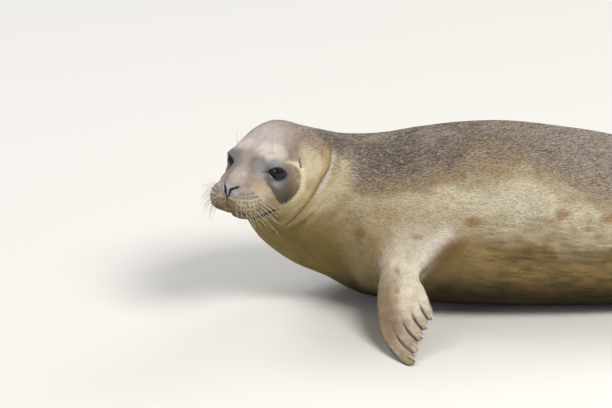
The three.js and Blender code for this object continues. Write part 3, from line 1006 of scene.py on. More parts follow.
# The belly's own darker wet colour, deepened with painted shade under the body.
BELLY_IN_SHADE = (0.042, 0.029, 0.013)
SHOULDER_TAN = (0.33, 0.255, 0.135)
THROAT = (0.235, 0.178, 0.062)
SPOT = (0.27, 0.165, 0.07)
FLIPPER_PALE = (0.56, 0.505, 0.41)
FLIPPER_MID = (0.165, 0.113, 0.064)
FLIPPER_EDGE = (0.19, 0.13, 0.068)
FLIPPER_TOES = (0.35, 0.285, 0.205)
# Painted shade in the clefts between the toes.
CLEFT_SHADE = (0.06, 0.048, 0.035)
CLEFT_GREY = (0.33, 0.31, 0.31)
ARMPIT_RUST = (0.15, 0.085, 0.027)
PEPPER = (0.045, 0.035, 0.028)
SALT = (0.42, 0.37, 0.315)
# Painted highlight on the lit ridge of the elbow over each foreflipper.
ELBOW_HIGHLIGHT = (0.69, 0.645, 0.58)

# Patches of the head: centre (f, away from the middle, u), radii, colour and share.
HEAD_PATCHES = [
    ((-74, 0, 48), (56, 62, 38), CROWN, 1.0),
    ((-84, 46, 26), (26, 18, 16), RUSSET, 0.9),
    ((-20, 0, 38), (36, 34, 24), FOREHEAD, 1.0),
    ((-62, 60, 2), (26, 26, 26), TEMPLE, 1.0),
    ((-98, 64, -16), (18, 26, 48), NAPE_SIDE, 0.9),
    ((-34, 56, -54), (46, 30, 22), CHEEK, 1.0),
    ((26, 30, -30), (22, 18, 26), MUZZLE_SIDE, 1.0),
    ((34, 0, -6), (28, 16, 13), BRIDGE, 1.0),
    ((14, 0, 12), (20, 12, 16), BETWEEN_EYES, 0.9),
    ((-6, 34, 26), (19, 14, 12), PALE_BROW, 0.85),
    ((3, 18, 33), (15, 13, 8), PALE_BROW, 0.5),
    ((48, 20, -35), (20, 20, 18), PAD, 1.0),
    # the pad's lower edge: browner fur with painted shade under the bulge
    ((30, 28, -64), (26, 20, 8), PAD_LOW, 0.7),
]
TEAR_UP = (-49, -44, -35, -23, -12, 0, 10, 14)
TEAR_FRONT = (-1, 6, 13, 18, 20, 17, 8, -2)
TEAR_BACK = (-3, -9, -19, -27, -31, -31, -22, -10)
BLUE_PLACES = [((19, 25, 9), (10, 10, 15)), ((2, 37, 14), (13, 8, 7))]

# Rust spots of the left side: place, radii along and up, strength.
SPOTS = [
    ((-134, -130, 165), 15, 8, 1.0),
    ((-191, -97, 216), 7, 4, 0.7),
    ((-151, -97, 223), 6, 4, 0.8),
    ((-88, -92, 231), 8, 4, 0.35),
    ((-2, -123, 175), 11, 7, 0.8),
    ((-18, -127, 166), 12, 4, 0.55),
    ((13, -129, 153), 6, 10, 0.45),
    ((67, -118, 166), 13, 7, 0.8),
    ((-301, -110, 139), 9, 9, 0.75),
    ((-285, -119, 129), 7, 8, 0.6),
    ((-218, -133, 143), 8, 4, 0.7),
    ((-227, -128, 166), 7, 4, 0.4),
    ((-246, -150, 99), 4.5, 5, 0.65),
    ((-247, -170, 74), 5, 4, 0.7),
    ((160, -104, 150), 12, 6, 0.6),
    ((210, -88, 128), 9, 6, 0.5),
    ((290, -70, 96), 10, 5, 0.5),
]
SPOT_SHIFT = 43.0  # how far back the spots of the right side are
BAND_S = (100, 200, 290, 330, 385, 445, 505, 565, 650, 800)
BAND_EDGE = (0.62, 0.58, 0.62, 0.67, 0.74, 0.8, 0.82, 0.72, 0.54, 0.5)
BACK_REAR = (0.225, 0.19, 0.16)
SLEEVE = (-228, -150, 112)  # where the pale of a foreflipper starts, below the shoulder
ABOVE_SLEEVE = (-206, -140, 168)
NECK_REAR = -240.0
HEAD_REAR = -135.0


def mixed(colour, *layers):
    """A colour under layers, each of another colour and how much of it shows at each place."""
    colour = np.asarray(colour, float)
    for other, weight in layers:
        colour = colour + (np.asarray(other, float) - colour) * np.asarray(weight)[:, None]
    return colour


def shaded(colour, amount):
    """A colour made lighter where the amount is above 0, and darker where it is below."""
    return colour * (1 + amount)[:, None]


def inside(places, centre, radii, soft=0.4):
    """1 inside an ellipsoid, falling smoothly to 0 outside it."""
    return falls(1 - soft, 1 + soft, how_far(places, centre, radii))


def height_share(points):
    """Place along the spine, and height: 0 on the widest line, 1 along the back, -1 under the belly."""
    s, _ = spine_place(points)
    _, top, bottom, middle = table_at(STATIONS, np.clip(s, 0, TAIL_END)).T
    z = points[:, 2]
    above = (z - middle) / np.maximum(top - middle, 4)
    below = (z - middle) / np.maximum(middle - bottom, 4)
    return s, np.clip(np.where(z > middle, above, below), -1.2, 1.2)


def trunk_colours(points):
    s, h = height_share(points)
    h = h + 0.07 * noise(points, 34, 1) + 0.05 * noise(points, 13, 2)
    over_edge = h - np.interp(s, BAND_S, BAND_EDGE)
    behind = rises(300, 400, s)
    colour = mixed(
        CREAM,
        (SHOULDER_TAN, falls(330, 440, s) * falls(0.35, 0.6, h)),
        (LOW_FLANK, falls(0.08, 0.5, h + 0.06 * rises(520, 700, s)) * behind),
    )
    # Painted shade: a darker band just below the widest line of the rear flank.
    colour = shaded(colour, -0.3 * ridge(h - 0.05, 0.16) * rises(425, 500, s))
    clouds = rises(0.45, 0.9, 0.5 + 0.5 * noise(points * (0.6, 1, 1), 26, 3))
    colour = mixed(
        colour,
        # painted shade: darker towards the bottom of the body, over the belly's own darker colour
        (BELLY_IN_SHADE, falls(-0.88, -0.4, h - 0.2 * behind)),
        (THROAT, falls(175, 255, s) * falls(-0.5, 0.1, h)),
        (UPPER_FLANK, rises(-0.22, -0.02, over_edge)),
        (mixed(BACK, (BACK_REAR, rises(430, 640, s))), rises(-0.18, 0.26, over_edge)),
        # painted highlight along the top of the back
        (BACK_TOP_LIT, rises(0.93, 1.04, h) * 0.7),
        (CREAM, 0.35 * clouds * (over_edge < 0) * rises(-0.2, 0.3, h)),
    )
    # Painted light and shade of the fur's ripples: light and dark streaks along the lower rear flank.
    drawn_out = points * (0.3, 1, 1.5) + (0, 0, 0.12) * points[:, :1]
    ripple_shading = noise(drawn_out, 5.5, 18) * rises(380, 470, s) * falls(0.2, 0.55, h)
    colour = shaded(colour, 0.42 * ripple_shading)
    return shaded(colour, 0.09 * noise(points, 17, 4) + 0.06 * noise(points, 6, 5))


def spotted(colour, points):
    wobble = 0.3 * noise(points, 7, 6)
    for (place, along, up, strength), side in itertools.product(SPOTS, SIDES):
        centre = mirrored(place, side) + (0 if side > 0 else SPOT_SHIFT, 0, 0)
        weight = inside(points, centre, (along, 22, up), 0.55) * (1 + wobble)
        colour = mixed(colour, (SPOT, np.clip(weight * strength, 0, 1)))
    return colour


def speckle_share(points):
    """How strongly hairs differ from each other: most on the back and nape."""
    s, h = height_share(points)
    edge = np.interp(s, BAND_S, BAND_EDGE)
    share = rises(-0.28, 0.14, h - edge) * rises(105, 150, s)
    d, here = crease_distance(to_head(points))
    return np.maximum(share * (1 - here * (d < 0)), 0.5 * here * rises(12, 22, d))


def head_colours(colour, points):
    places = to_head(points)
    left = one_side(places)
    f, l, u = left.T
    warped = left + np.stack([noise(places, 11, 7 + k) for k in range(3)], -1) * 3.0
    patches = [(paint, inside(warped, at, radii, 0.55) * share) for at, radii, paint, share in HEAD_PATCHES]
    before = np.interp(u, TEAR_UP, TEAR_FRONT) - f
    behind = f - np.interp(u, TEAR_UP, TEAR_BACK)
    streak = np.clip(0.5 + noise(places * (0.5, 1, 1), 2.6, 13), 0, 1)
    tear = mixed(
        TEAR,
        (TEAR_REAR, rises(2, 26, (3 - f)) * rises(-40, -8, u)),
        (BLUE_GREY, 0.75 * inside(left, (-1, 36, -17), (15, 12, 13), 0.6)),
        (CHEEK, 0.35 * streak**2 * falls(3, 14, behind)),
    )
    within = rises(-1.6, 1.6, before + 0.8 * noise(places, 4, 11))
    within *= rises(-3.5, 3.5, behind + 2.0 * noise(places, 4, 12))
    within *= rises(-50, -44, u) * falls(6, 14, u) * (l > 20)
    rim = rises(-1, 3, -behind) * falls(7, 18, -behind) * rises(-60, -40, u)
    colour = mixed(
        colour,
        *patches,
        (tear, within),
        (PALE_RIM, rim * falls(8, 20, u) * (l > 25) * 0.85),
        *((BLUE_GREY, inside(left, centre, radii, 0.45) * 0.9) for centre, radii in BLUE_PLACES),
    )
    return jaw_colours(shaded(colour, 0.11 * noise(places, 7, 14) + 0.06 * noise(places, 3, 15)), places)


def jaw_colours(colour, places):
    f = places[:, 0]
    d = above_lips(places)
    below = rises(0, 4, -d) * rises(-6, 6, f)
    return mixed(
        colour,
        (JAW, below * 0.9),
        # painted shade on the front of the lower jaw, under the muzzle
        (CHIN_SHADE, below * rises(24, 40, f)),
        # the pad's lower edge: browner fur with painted shade under the bulge
        (PAD_LOW, ridge(d - 4.5, 3.5) * rises(16, 34, f) * 0.8),
        # painted shade of the mouth where the lips part
        (DARK_SKIN_AND_SHADE, gape(places)),
        # painted shade just below the line between the lips
        (CHIN_SHADE, ridge(d + 1, 4.5) * rises(30, 44, f) * 0.8),
        (DARK_SKIN_AND_SHADE, ridge(d, 1.7) * rises(-2, 5, f) * (0.85 - 0.35 * rises(36, 50, f))),
    )


def neck_colours(colour, points):
    d, here = crease_distance(to_head(points))
    u = points[:, 2] - EYES_MID[2]
    # pale marks the roll of skin behind the fold of the neck: a painted highlight, tan low down and pale
    # higher up.
    pale = rises(0.5, 2.5, d) * falls(0.5, 1.4, d / (3.4 + 3.4 * falls(-60, -10, u)))
    rear = ridge(d - 18, 13) * rises(-85, -55, u) * falls(-12, 8, u)
    return mixed(
        colour,
        (SHOULDER_TAN, 0.7 * here * pale * falls(-70, -35, u)),
        (RIDGE_HIGHLIGHT, here * pale * rises(-62, -26, u)),
        (TEMPLE, here * rear * 0.6),
        (NAPE_SIDE, here * rises(-16, -7, d) * (d < 2) * 0.7),
        # painted shade in the fold of the neck
        (CREASE_SHADE, here * ridge(d + 0.3, 2.9) * 0.8),
    )


def face_details(colour, places):
    """Nose, lids, whisker beds and ear slits. Gives the colour and how bare the skin is."""
    nose = inside(one_side(places), (61, 4, -18), (10, 10, 8.5), 0.25)
    slit, share = slit_distance(places, NOSTRIL)
    inner = falls(1.3, 2.2, slit / (0.95 + 0.75 * ridge(share - 0.4, 0.35)))
    philtrum = ridge(places[:, 1], 1.3) * inside(places, (60, 0, -32), (14, 8, 12), 0.2)
    # Painted shade in the nostrils and in the philtrum's groove.
    colour = mixed(colour, (NOSE_SKIN, nose), (DARK_SKIN_AND_SHADE, inner), (CHIN_SHADE, philtrum * 0.8))
    bare = np.maximum(nose, inner)
    for side in SIDES:
        near = near_to(places, eye_axes(side)[0], EYE_REACH)
        gap = lid_gap(places[near], side)[0]
        rim = falls(0.4, 2.6, gap)
        corner, _ = path_distance(places[near], mirrored(CANTHUS, side))
        colour[near] = mixed(
            colour[near],
            (DARK_SKIN_AND_SHADE, rim),
            (BLUE_GREY, 0.55 * falls(2.4, 8.0, gap) * (1 - rim)),
            (DARK_SKIN_AND_SHADE, ridge(corner, 1.8) * 0.9),
        )
        bare[near] = np.maximum(bare[near], falls(0.6, 1.8, gap))
        near = near_to(places, mirrored(PAD_MIDDLE, side), PAD_REACH)
        for root in WHISKER_ROOTS[side][0]:
            d = how_far(places[near], root)
            colour[near] = mixed(colour[near], (DARK_SKIN_AND_SHADE, ridge(d, 1.6) * 0.95))
            bare[near] = np.maximum(bare[near], falls(0.9, 1.9, d))
    slit, _ = slit_distance(places, EAR_SLIT)
    dot = how_far(one_side(places), BROW_HAIRS[0])
    # Painted shade in the ear slits.
    return mixed(colour, (DARK_SKIN_AND_SHADE, falls(1.3, 2.4, slit)), (TEAR, ridge(dot, 1.6) * 0.8)), bare


def flipper_colours(limb, points):
    """Colours of a flipper at places of it."""
    kind, _, u, v, top = limb[:, :SHARE].T
    fore = kind == FORE_KIND
    crown = toe_crown(v)
    into = rises(TOE_SHARE, TOE_SHARE + 0.12, u)
    stains = rises(0.1, 0.7, noise(points, 10, 20)) * falls(0.35, 0.75, v)
    colour = mixed(
        FLIPPER_PALE,
        (FLIPPER_MID, 0.9 * (ridge(v - 0.2, 0.3) * rises(0.18, 0.5, u) * falls(0.8, 0.98, u))),
        (FLIPPER_TOES, rises(0.74, 0.92, u) * 0.8),
        (FLIPPER_EDGE, falls(0.05, 0.3, v) * rises(0.28, 0.5, u) * np.where(fore, 0.55, 0.4)),
        (CLEFT_GREY, into * ridge(crown - 0.45, 0.3) * 0.6),
        # painted shade deep in the clefts between the toes
        (CLEFT_SHADE, into * falls(0.12, 0.5, crown) * np.where(fore, 0.95, 0.8)),
        (BACK, ~fore * falls(0.3, 0.8, u) * 0.45),
        (FLIPPER_MID, (top < 0) * 0.5),
        (FLIPPER_MID, 0.45 * stains),
    )
    return shaded(colour, 0.12 * noise(points, 12, 16) + 0.08 * noise(points, 4, 17))


def pelt(points, limb):
    """Colour and bareness of the pelt at places of the skin, whose places on a flipper are limb."""
    colour = trunk_colours(points)
    before = falls(-2, 8, points[:, 0] - np.interp(points[:, 2], ARMPIT_UP, ARMPIT_X))
    for side in SIDES:
        sleeve = inside(points, mirrored(SLEEVE, side), (38, 60, 52), 0.5) * before
        colour = mixed(
            colour,
            (CREAM, 0.4 * inside(points, mirrored(ABOVE_SLEEVE, side), (46, 50, 26), 0.6)),
            (FLIPPER_PALE, sleeve * (0.85 + 0.15 * noise(points, 11, 19))),
        )
    in_front = np.flatnonzero(points[:, 0] < NECK_REAR)
    colour[in_front] = neck_colours(colour[in_front], points[in_front])
    fade_start = np.where(limb[:, KIND] == FORE_KIND, 0.13, 0.02)
    share = rises(0.25, 0.8, limb[:, SHARE]) * rises(fade_start, fade_start + 0.24, limb[:, U])
    rows = np.flatnonzero(share > 0)
    colour[rows] = mixed(colour[rows], (flipper_colours(limb[rows], points[rows]), share[rows]))
    colour = spotted(colour, points)
    for side in SIDES:
        elbow, _ = path_distance(points, mirrored(WEB, side))
        fold, _ = path_distance(points, mirrored(ARMPIT, side))
        colour = mixed(
            colour,
            # painted highlight along the web over the elbow
            (ELBOW_HIGHLIGHT, ridge(elbow, 13) * 0.75 * before),
            (ARMPIT_RUST, ridge(fold, 15) * 0.85 * (1 - before)),
            (ARMPIT_RUST, ridge(fold, 9) * 0.8),
            # painted shade in the fold behind the foreflipper
            (CREASE_SHADE, ridge(fold, 4) * 0.6),
        )
    bare = np.zeros(len(points))
    forward = to_head(points)[:, 0]
    face = np.flatnonzero(forward > HEAD_REAR)
    own = neck_colours(head_colours(colour[face], points[face]), points[face])
    own, bare[face] = face_details(own, to_head(points[face]))
    colour[face] = mixed(colour[face], (own, rises(HEAD_REAR + 5, HEAD_REAR + 31, forward[face])))
    return np.clip(colour, 0.01, 0.9), bare


# ---- materials

# Colours from the middle of the cornea to the back of the eye, and from roots to tips.
EYE_RINGS = [
    (0.0, (0.004, 0.004, 0.005)),
    (0.11, (0.006, 0.005, 0.006)),
    (0.15, (0.012, 0.008, 0.007)),
    (0.27, (0.017, 0.011, 0.009)),
    (0.31, (0.012, 0.010, 0.010)),
    (0.40, (0.20, 0.18, 0.17)),
]
CLAW_SHADES = [(0.0, (0.34, 0.28, 0.20)), (0.5, (0.38, 0.31, 0.22)), (1.0, (0.55, 0.49, 0.37))]
WHISKER_SHADES = [
    (0.0, (0.05, 0.04, 0.03)),
    (0.10, (0.12, 0.09, 0.06)),
    (0.22, (0.46, 0.40, 0.28)),
    (1.0, (0.74, 0.70, 0.60)),
]


def new_material(name, roughness, specular):
    """A procedural material with its node tree and its shader."""
    material = bpy.data.materials.new(name)
    material.use_nodes = True
    tree = material.node_tree
    shader = tree.nodes["Principled BSDF"]
    shader.inputs["Roughness"].default_value = roughness
    shader.inputs["Specular IOR Level"].default_value = specular
    return material, tree, shader


def add_node(tree, kind, links=(), **values):
    """Adds a node, sets its values by socket or property name, and links inputs to other sockets."""
    node = tree.nodes.new("ShaderNode" + kind)
    for name, value in values.items():
        if hasattr(node, name):
            setattr(node, name, value)
        else:
            node.inputs[name.replace("_", " ")].default_value = value
    for name, socket in links:
        tree.links.new(socket, node.inputs[name])
    return node


def attribute(tree, name, output="Fac"):
    return add_node(tree, "Attribute", attribute_name=name).outputs[output]


def grey_range(tree, factor, low, high, from_low=0.3, from_high=0.7):
    """A grey value that goes from low to high as a texture goes through its middle range."""
    ends = {"From_Min": from_low, "From_Max": from_high, "To_Min": low, "To_Max": high}
    return add_node(tree, "MapRange", [("Value", factor)], **ends).outputs["Result"]


def noise_output(tree, scale, detail=3.0, stretch=(1, 1, 1)):
    place = add_node(tree, "TexCoord").outputs["Object"]
    place = add_node(tree, "Mapping", [("Vector", place)], Scale=stretch).outputs["Vector"]
    return add_node(tree, "TexNoise", [("Vector", place)], Scale=scale, Detail=detail).outputs["Fac"]


def add_bump(tree, shader, height, distance, strength):
    bump = add_node(tree, "Bump", [("Height", height)], Strength=strength, Distance=distance)
    tree.links.new(bump.outputs["Normal"], shader.inputs["Normal"])


def add_colour(tree, shader, colour, texture, low, high):
    """Gives the shader a colour that a texture makes darker and lighter."""
    shade = grey_range(tree, texture, low, high)
    product = add_node(tree, "VectorMath", [(0, colour), (1, shade)], operation="MULTIPLY")
    tree.links.new(product.outputs["Vector"], shader.inputs["Base Color"])


def skin_material():
    """Hide under the tufts: fine streaks of hair, and a smooth wet sheen where it is bare."""
    material, tree, shader = new_material("pelt_skin", 0.8, 0.3)
    streaks = noise_output(tree, 520, 2.0, (0.35, 1, 1))
    add_colour(tree, shader, attribute(tree, "pelt", "Color"), streaks, 0.72, 1.12)
    gloss = grey_range(tree, attribute(tree, "bare"), 0.8, 0.32, 0, 1)
    tree.links.new(gloss, shader.inputs["Roughness"])
    add_bump(tree, shader, streaks, 0.0006, 0.6)
    return material


def tuft_material(name):
    material, tree, shader = new_material(name, 0.6, 0.16)
    add_colour(tree, shader, attribute(tree, "pelt", "Color"), noise_output(tree, 900, 1.0), 0.88, 1.1)
    return material


def ramp(tree, factor, stops):
    """Colours that run through stops, each a place from 0 to 1 and a colour."""
    node = add_node(tree, "ValToRGB", [("Fac", factor)])
    elements = node.color_ramp.elements
    while len(elements) < len(stops):
        elements.new(0.5)
    for element, (place, colour) in zip(elements, stops):
        element.position = place
        element.color = (*colour, 1)
    return node.outputs["Color"]


def eye_material():
    """A black pupil in a very dark brown iris, a thin paler ring, and the white that the lids hide."""
    material, tree, shader = new_material("eye_wet", 0.06, 0.2)
    shader.inputs["Coat Weight"].default_value = 0.25
    shader.inputs["Coat Roughness"].default_value = 0.03
    wobble = grey_range(tree, noise_output(tree, 700), -0.006, 0.006)
    place = add_node(tree, "Math", [(0, attribute(tree, "turn")), (1, wobble)], operation="ADD")
    colour = ramp(tree, place.outputs["Value"], EYE_RINGS)
    tree.links.new(colour, shader.inputs["Base Color"])
    return material


def horn_material():
    """Claws: pale horn with a darker root and fine lines along them."""
    material, tree, shader = new_material("claw_horn", 0.38, 0.5)
    lines = noise_output(tree, 900, 2.0)
    add_colour(tree, shader, ramp(tree, attribute(tree, "share"), CLAW_SHADES), lines, 0.8, 1.1)
    add_bump(tree, shader, lines, 0.0003, 0.4)
    return material


def whisker_material():
    """Whiskers: pale and glossy, darker towards the root."""
    material, tree, shader = new_material("whisker_hair", 0.32, 0.5)
    colour = ramp(tree, attribute(tree, "share"), WHISKER_SHADES)
    add_colour(tree, shader, colour, noise_output(tree, 260, 1.0), 0.85, 1.08)
    return material


def set_attribute(mesh, name, values):
    layer = mesh.attributes.new(name, "FLOAT", "POINT")
    layer.data.foreach_set("value", np.ascontiguousarray(values, np.float32))


def set_colours(mesh, colours):
    layer = mesh.color_attributes.new("pelt", "FLOAT_COLOR", "POINT")
    rows = np.column_stack([colours, np.ones(len(colours))])
    layer.data.foreach_set("color", np.ascontiguousarray(rows, np.float32).ravel())


def finished(made, material):
    """Gives a piece its material and its body."""
    made.data.materials.append(material)
    made.data.polygons.foreach_set("use_smooth", [True] * len(made.data.polygons))
    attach(made, "root")


# ---- skin object

skin, limbs = joined_skin()
skin_points, skin_edges, seam_weight = softened(skin, limbs)
skin_triangles = mesh_triangles(skin.data)
skin_points = shaped(skin_points, skin_triangles)
skin_normals = vertex_normals(skin_points, skin_triangles)
set_points(skin.data, skin_points * MM)
limbs[:, SHARE] = relax(limbs[:, SHARE:], skin_edges, seam_weight, 10)[:, 0]
skin_colours, skin_bare = pelt(skin_points, limbs)
set_colours(skin.data, skin_colours)
set_attribute(skin.data, "bare", skin_bare)
finished(skin, skin_material())
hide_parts("head", "lower_jaw", "nose_pad", "neck", "chest", "belly", "hindquarters", "tail")
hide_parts("foreflipper_left", "foreflipper_right", "hindflipper_left", "hindflipper_right")

# ---- coat

NOSE_TIP = np.array([66.0, 0.0, -18.0])
TUFT_LIMIT = 46000  # tufts in one piece
PATCH = 0.003  # of the unwrap, for each tuft
TUFT_CORNERS = np.array([(0, 0), (1, 0), (0.5, 0.5), (0.5, 1)])
# Shares of a tuft's colour at its corners: painted shade at the two roots, lighter at the tip.
TUFT_PAINTED_SHADING = np.array([0.84, 0.84, 1.0, 1.12])
TUFT_FACES = np.array([(0, 1, 3), (0, 2, 1), (0, 3, 2), (1, 2, 3)])

# On the crown, what nape, trunk and face add to it, then on a flipper and what its toes add.
TUFT_LENGTH = (3.4, 1.2, 0.9, -1.0, 4.6, -1.8)
TUFT_WIDTH = (0.9, 0.25, 0.35, -0.15, 1.3, -0.35)
TUFT_SPACING = (1.0, 0.3, 0.4, 0.0, 1.5, 0.0)

ROOT_DEPTH = 0.25
CREST_PLACE = 0.35  # along the tuft
SWAY = 0.07  # how much tufts differ in their way, in radians
COAT_ON_LIMB = FLIPPER_COAT + 0.2

# How clear of bare places the tufts' roots stay, and then two places along them.
BARE_ENOUGH = 0.45
LIPS_CLEAR = 1.3
EAR_CLEAR = 2.6
BELLY_CLEAR = 2.2
SLITS_CLEAR = ((EAR_SLIT, 2.4), (NOSTRIL, 2.0))
LIDS_CLEAR = 0.2
FOLLICLE_CLEAR = 1.0
ALONG_TUFT = (0.45, 0.9)


def lie_of_coat(points, normals, limb):
    """The way the hair lies at each point of the skin: back from the nose and down the flippers."""
    s, _ = spine_place(points)
    _, _, along = spine_frame(s)
    heads = to_head(points)
    way = np.column_stack([along, np.full(len(points), -0.12)])
    way += unit(heads - NOSE_TIP) @ HEAD_AXES * (1.2 * rises(-20, 45, heads[:, 0]))[:, None]
    for kind, form in ((FORE_KIND, FORE), (HIND_KIND, HIND)):
        rows = np.flatnonzero((limb[:, SHARE] > 0.02) & (limb[:, KIND] == kind))
        here = flipper_way(form, limb[rows])
        way[rows] += (here - way[rows]) * rises(0.1, 0.7, limb[rows, SHARE])[:, None]
    return along_skin(way, normals)


def along_skin(ways, normals):
    """Ways turned to lie along the skin."""
    return unit(ways - normals * (ways * normals).sum(1, keepdims=True))


def flipper_way(form, limb):
    """The way from the root to the toes at places of a flipper."""
    u = np.clip(limb[:, U], 0, 0.97)
    v = np.clip(limb[:, V], 0, 1)
    lift = np.full(len(limb), 5.0)
    start, end = (flipper_point(form, 1, *plan_point(form, u + step, v).T, lift) for step in (0, 0.02))
    way = unit(end - start)
    way[:, 1] *= np.where(limb[:, SIDE] > 0, 1, -1)
    return way


def tuft_sizes(points, limb):
    """Length, width and spacing of the tufts at places of the skin."""
    s, _ = spine_place(points)
    in_face = rises(20, 45, to_head(points)[:, 0])
    to_nape, to_trunk = rises(85, 150, s), rises(170, 280, s)
    share = rises(0.2, 0.9, limb[:, SHARE])
    toes = rises(0.5, 0.95, limb[:, U])
    sizes = []
    for crown, nape, trunk, face, flipper, toe in (TUFT_LENGTH, TUFT_WIDTH, TUFT_SPACING):
        size = crown + nape * to_nape + trunk * to_trunk + face * in_face
        sizes.append(size + (flipper + toe * toes - size) * share)
    return sizes


def scattered(rng, points, triangles, density):
    """Random places on the triangles, at so many in each square mm: triangle and corner weights."""
    a, b, c = points[triangles].transpose(1, 0, 2)
    area = np.linalg.norm(np.cross(b - a, c - a), axis=1) / 2
    total = np.cumsum(area * density[triangles].mean(1))
    count = int(total[-1])
    picks = (np.arange(count) + rng.random(count)) * (total[-1] / count)
    chosen = np.minimum(np.searchsorted(total, picks), len(triangles) - 1)
    first, second = np.sqrt(rng.random(count)), rng.random(count)
    weights = np.stack([1 - first, first * (1 - second), first * second], -1)
    return chosen, weights


def carried(values, corners, weights):
    return (values[corners] * weights[:, :, None]).sum(1)


def unwrap_place(points, limb):
    """Each root's place on an unwrap of the body, and on one of a flipper's two faces."""
    s, right = spine_place(points)
    middle = table_at(STATIONS, np.clip(s, 0, TAIL_END))[:, 3]
    around = np.arctan2(points[:, 2] - middle, right) / (2 * math.pi) + 0.5
    across = np.where(limb[:, TOP] > 0, 0.0, 0.5) + np.clip(limb[:, V], 0, 1) * 0.49
    return np.column_stack([s, around]), np.column_stack([limb[:, U], across])


def tuft_shapes(rng, roots, normals, ways, length, width, depth):
    """Corners of every tuft, two at its root, its crest and its tip, and the ways that they face."""
    count = len(roots)
    side = np.cross(normals, ways)
    sway = rng.normal(0, SWAY, count)[:, None]
    ways = unit(ways + side * sway)
    side = np.cross(normals, ways)
    length = length * rng.uniform(0.75, 1.25, count)
    rise = np.minimum(depth * rng.uniform(0.2, 0.7, count), length * 0.22)[:, None]
    half = side * (width * rng.uniform(0.8, 1.2, count) / 2)[:, None]
    low = roots - normals * ROOT_DEPTH
    tip = roots + ways * length[:, None] + normals * rise
    bulge = CREST_PLACE * rise + 0.07 * width[:, None] + 0.08
    crest = roots + ways * (CREST_PLACE * length)[:, None] + normals * bulge
    corners = np.stack([low - half, low + half, crest, tip], 1)
    corners[:, :, 2] = np.maximum(corners[:, :, 2], TUFT_REST)
    facing = np.stack([normals - side * 0.4, normals + side * 0.4, normals, normals + ways * 0.2], 1)
    return corners, unit(facing)


def coat_piece(name, material, corners, facing, colours, places):
    """One mesh of tufts, each with its patch of the unwrap."""
    count = len(corners)
    mesh = bpy.data.meshes.new(name)
    mesh.vertices.add(4 * count)
    mesh.loops.add(12 * count)
    mesh.polygons.add(4 * count)
    mesh.vertices.foreach_set("co", np.ascontiguousarray(corners * MM, np.float32).ravel())
    index = (TUFT_FACES[None] + 4 * np.arange(count)[:, None, None]).ravel()
    mesh.loops.foreach_set("vertex_index", index.astype(np.int32))
    mesh.polygons.foreach_set("loop_start", (3 * np.arange(4 * count)).astype(np.int32))
    mesh.update(calc_edges=True)
    set_colours(mesh, (colours[:, None] * TUFT_PAINTED_SHADING[:, None]).reshape(-1, 3))
    patch = places[:, None] * (1 - PATCH) + TUFT_CORNERS * PATCH
    layer = mesh.uv_layers.new(name="OFBake")
    layer.data.foreach_set("uv", np.ascontiguousarray(patch.reshape(-1, 2)[index], np.float32).ravel())
    finished(new_object(name, mesh), material)
    mesh.normals_split_custom_set_from_vertices(facing.reshape(-1, 3))


def hair_colours(rng, points, colours, limb):
    """Each tuft's own colour: near the pelt's, and pepper-and-salt along the back."""
    count = len(points)
    spread = speckle_share(points) * (1 - limb[:, SHARE])
    pick = rng.random(count)
    colours = colours * rng.uniform(0.88, 1.12, count)[:, None]
    return mixed(colours, (PEPPER, (pick < 0.34) * spread * 0.66), (SALT, (pick > 0.7) * spread * 0.42))


def without_hair(points, bare):
    """Places that stay free of tufts: nose, lids, lips, ear slits, and under the belly's flat."""
    heads = to_head(points)
    lips = (np.abs(above_lips(heads)) < LIPS_CLEAR) & (heads[:, 0] > 0) | (gape(heads) > 0.3)
    ear = slit_distance(heads, EAR_SLIT)[0] < EAR_CLEAR
    return (bare > BARE_ENOUGH) | lips | ear | (points[:, 2] < BELLY_CLEAR)


def over_slit(points):
    """Whether places lie on an eye, a slit, the parted lips or the root of a whisker."""
    heads = to_head(points)
    hit = gape(heads) > 0.4
    for slit, clear in SLITS_CLEAR:
        hit |= slit_distance(heads, slit)[0] < clear
    for side in SIDES:
        near = near_to(heads, eye_axes(side)[0], EYE_REACH)
        hit[near] |= lid_gap(heads[near], side)[0] < LIDS_CLEAR
        near = near_to(heads, mirrored(PAD_MIDDLE, side), PAD_REACH)
        for root in WHISKER_ROOTS[side][0]:
            hit[near] |= how_far(heads[near], root) < FOLLICLE_CLEAR
    return hit


def rooted_tufts(rng):
    """Tufts that grow clear of the eyes, lips and slits: root, place on a flipper, colour and so on."""
    ways = lie_of_coat(skin_points, skin_normals, limbs)
    ways = unit(relax(ways, skin_edges, np.maximum(seam_weight, 0.2), 12))
    _, _, spacing = tuft_sizes(skin_points, limbs)
    chosen, weights = scattered(rng, skin_points, skin_triangles, spacing**-2)
    corners = skin_triangles[chosen]
    roots = carried(skin_points, corners, weights)
    limb = carried(limbs, corners, weights)
    for column in (KIND, SIDE, TOP):
        limb[:, column] = limbs[corners[:, 0], column]
    colours, bare = pelt(roots, limb)
    normals = unit(carried(skin_normals, corners, weights))
    way = along_skin(carried(ways, corners, weights), normals)
    length, width, _ = tuft_sizes(roots, limb)
    keep = ~without_hair(roots, bare)
    for share in ALONG_TUFT:
        keep &= ~over_slit(roots + way * (share * length)[:, None])
    return [values[keep] for values in (roots, limb, colours, normals, way, length, width)]


